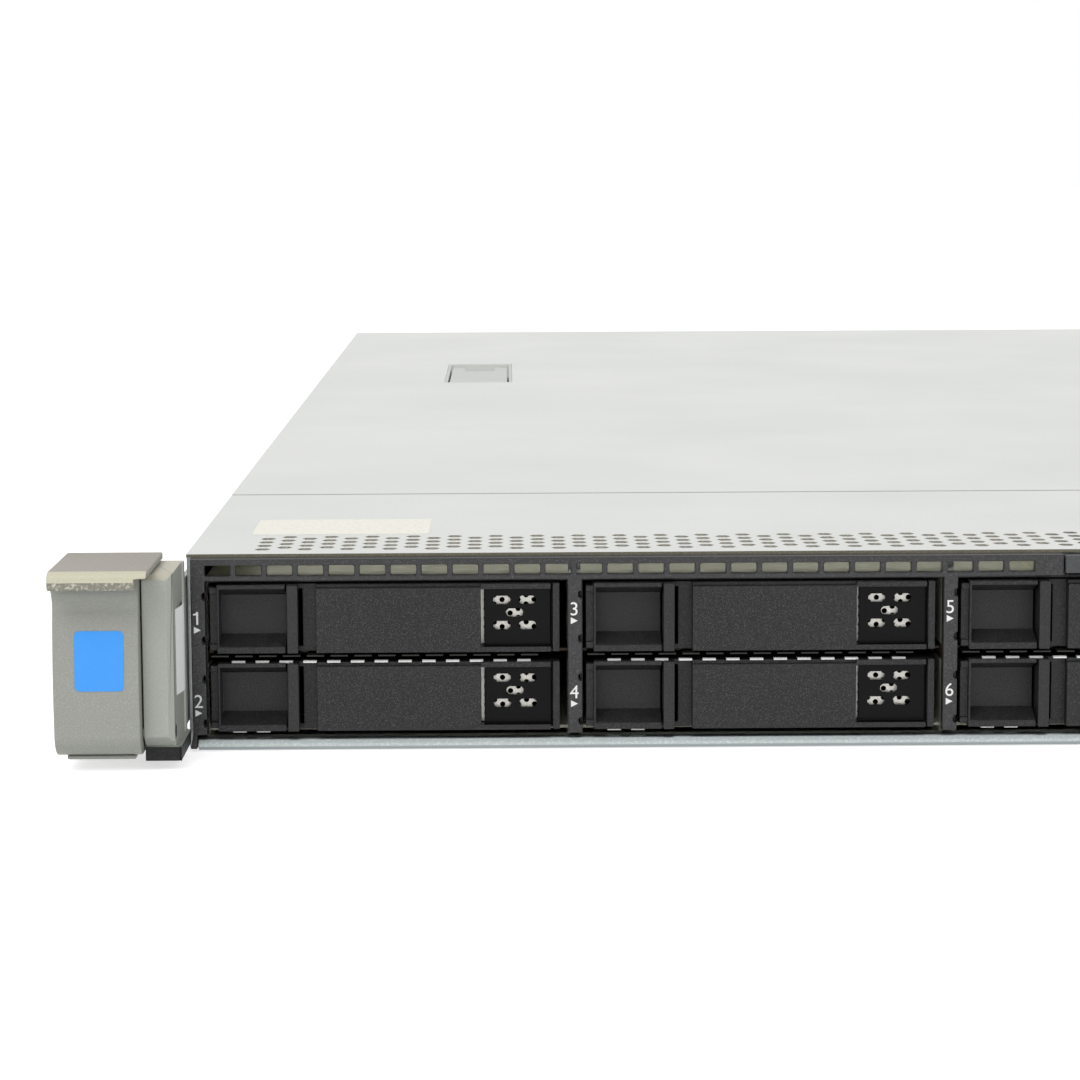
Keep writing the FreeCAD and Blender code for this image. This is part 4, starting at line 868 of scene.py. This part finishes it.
def seen_directly(tree):
    """Counts the ways in which a ray sees a surface itself: nought where it only gathers light."""
    path = add(tree, "ShaderNodeLightPath").outputs
    seen = add(tree, "ShaderNodeMath", {0: path["Is Camera Ray"], 1: path["Is Glossy Ray"]}, operation="ADD")
    seen = add(tree, "ShaderNodeMath", {0: seen.outputs[0], 1: path["Is Transmission Ray"]}, operation="ADD")
    return seen.outputs[0]


def lifted_white(name, lit, glow):
    """A matt pale surface that shows a little lighter to the camera and in reflections."""
    material, tree, shader, _ = blank_material(name)
    shader.inputs["Base Color"].default_value = (lit, lit, lit, 1.0)
    shader.inputs["Roughness"].default_value = 0.9
    strength = add(tree, "ShaderNodeMath", {0: seen_directly(tree), 1: glow}, operation="MULTIPLY")
    shader.inputs["Emission Color"].default_value = (1.0, 1.0, 1.0, 1.0)
    tree.links.new(strength.outputs[0], shader.inputs["Emission Strength"])
    return material


floor_mesh = bpy.data.meshes.new("floor")
floor_mesh.from_pydata([(-FLOOR, -FLOOR, 0), (FLOOR, -FLOOR, 0), (FLOOR, FLOOR, 0), (-FLOOR, FLOOR, 0)],
                       [], [(0, 1, 2, 3)])
floor_mesh.materials.append(lifted_white("pale_floor", FLOOR_LIT, FLOOR_GLOW))
floor = bpy.data.objects.new("floor", floor_mesh)
floor.location.z = -FLOOR_DROP * MM
bpy.context.scene.collection.objects.link(floor)

# ----------------------------------------------------------------------- light
# A white surround, seen as white by the camera and in reflections, and two
# broad soft lamps at a plain level.
SKY_LIGHT = 0.55
world = bpy.data.worlds.new("studio")
world.use_nodes = True
bpy.context.scene.world = world
sky = world.node_tree
sky.nodes.clear()
seen = add(sky, "ShaderNodeMath", {0: seen_directly(sky), 1: 1.0}, operation="MINIMUM")
level = add(sky, "ShaderNodeMapRange", {"Value": seen.outputs[0], "To Min": SKY_LIGHT, "To Max": 1.0})
back = add(sky, "ShaderNodeBackground", {"Color": (1.0, 1.0, 1.0, 1.0), "Strength": level.outputs["Result"]})
out = add(sky, "ShaderNodeOutputWorld")
sky.links.new(back.outputs[0], out.inputs["Surface"])


def softbox(name, size, watts, place, aim):
    """A square area lamp at a place, turned towards a point."""
    lamp = bpy.data.lights.new(name, "AREA")
    lamp.shape = "SQUARE"
    lamp.size = size
    lamp.energy = watts
    holder = bpy.data.objects.new(name, lamp)
    holder.location = place
    holder.rotation_euler = (Vector(aim) - Vector(place)).to_track_quat("-Z", "Y").to_euler()
    holder.visible_glossy = False
    bpy.context.scene.collection.objects.link(holder)
    return holder


softbox("key", 0.9, 12.0, (-0.75, -1.15, 1.1), (-0.1, -0.3, 0.02))
softbox("fill", 1.2, 7.0, (0.9, -1.2, 0.9), (0.0, -0.3, 0.02))

# ---------------------------------------------------------------------- camera
# Some 0.6 m before the bays and a little above the top, looking slightly down
# at the left half of the front.
EYE = (-0.146297, -0.95205, 0.13335)
FOCAL_LENGTH = 93.35
SENSOR_WIDTH = 36.0
SHIFT_DOWN = 0.0704
PITCH = 0.1163
YAW = -0.0105
ROLL = -0.0044
lens = bpy.data.cameras.new("view")
lens.lens = FOCAL_LENGTH
lens.sensor_width = SENSOR_WIDTH
lens.shift_y = -SHIFT_DOWN
lens.clip_start = 0.01
right = Vector((math.cos(YAW), math.sin(YAW), 0.0))
up = Vector((-math.sin(YAW) * math.sin(PITCH), math.cos(YAW) * math.sin(PITCH), math.cos(PITCH)))
turned_right = right * math.cos(ROLL) + up * math.sin(ROLL)
turned_up = up * math.cos(ROLL) - right * math.sin(ROLL)
away = turned_right.cross(turned_up)
pose = Matrix((turned_right, turned_up, away)).transposed().to_4x4()
pose.translation = Vector(EYE)
camera = bpy.data.objects.new("view", lens)
camera.matrix_world = pose
bpy.context.scene.collection.objects.link(camera)
bpy.context.scene.camera = camera
bpy.context.scene.view_settings.view_transform = "Standard"
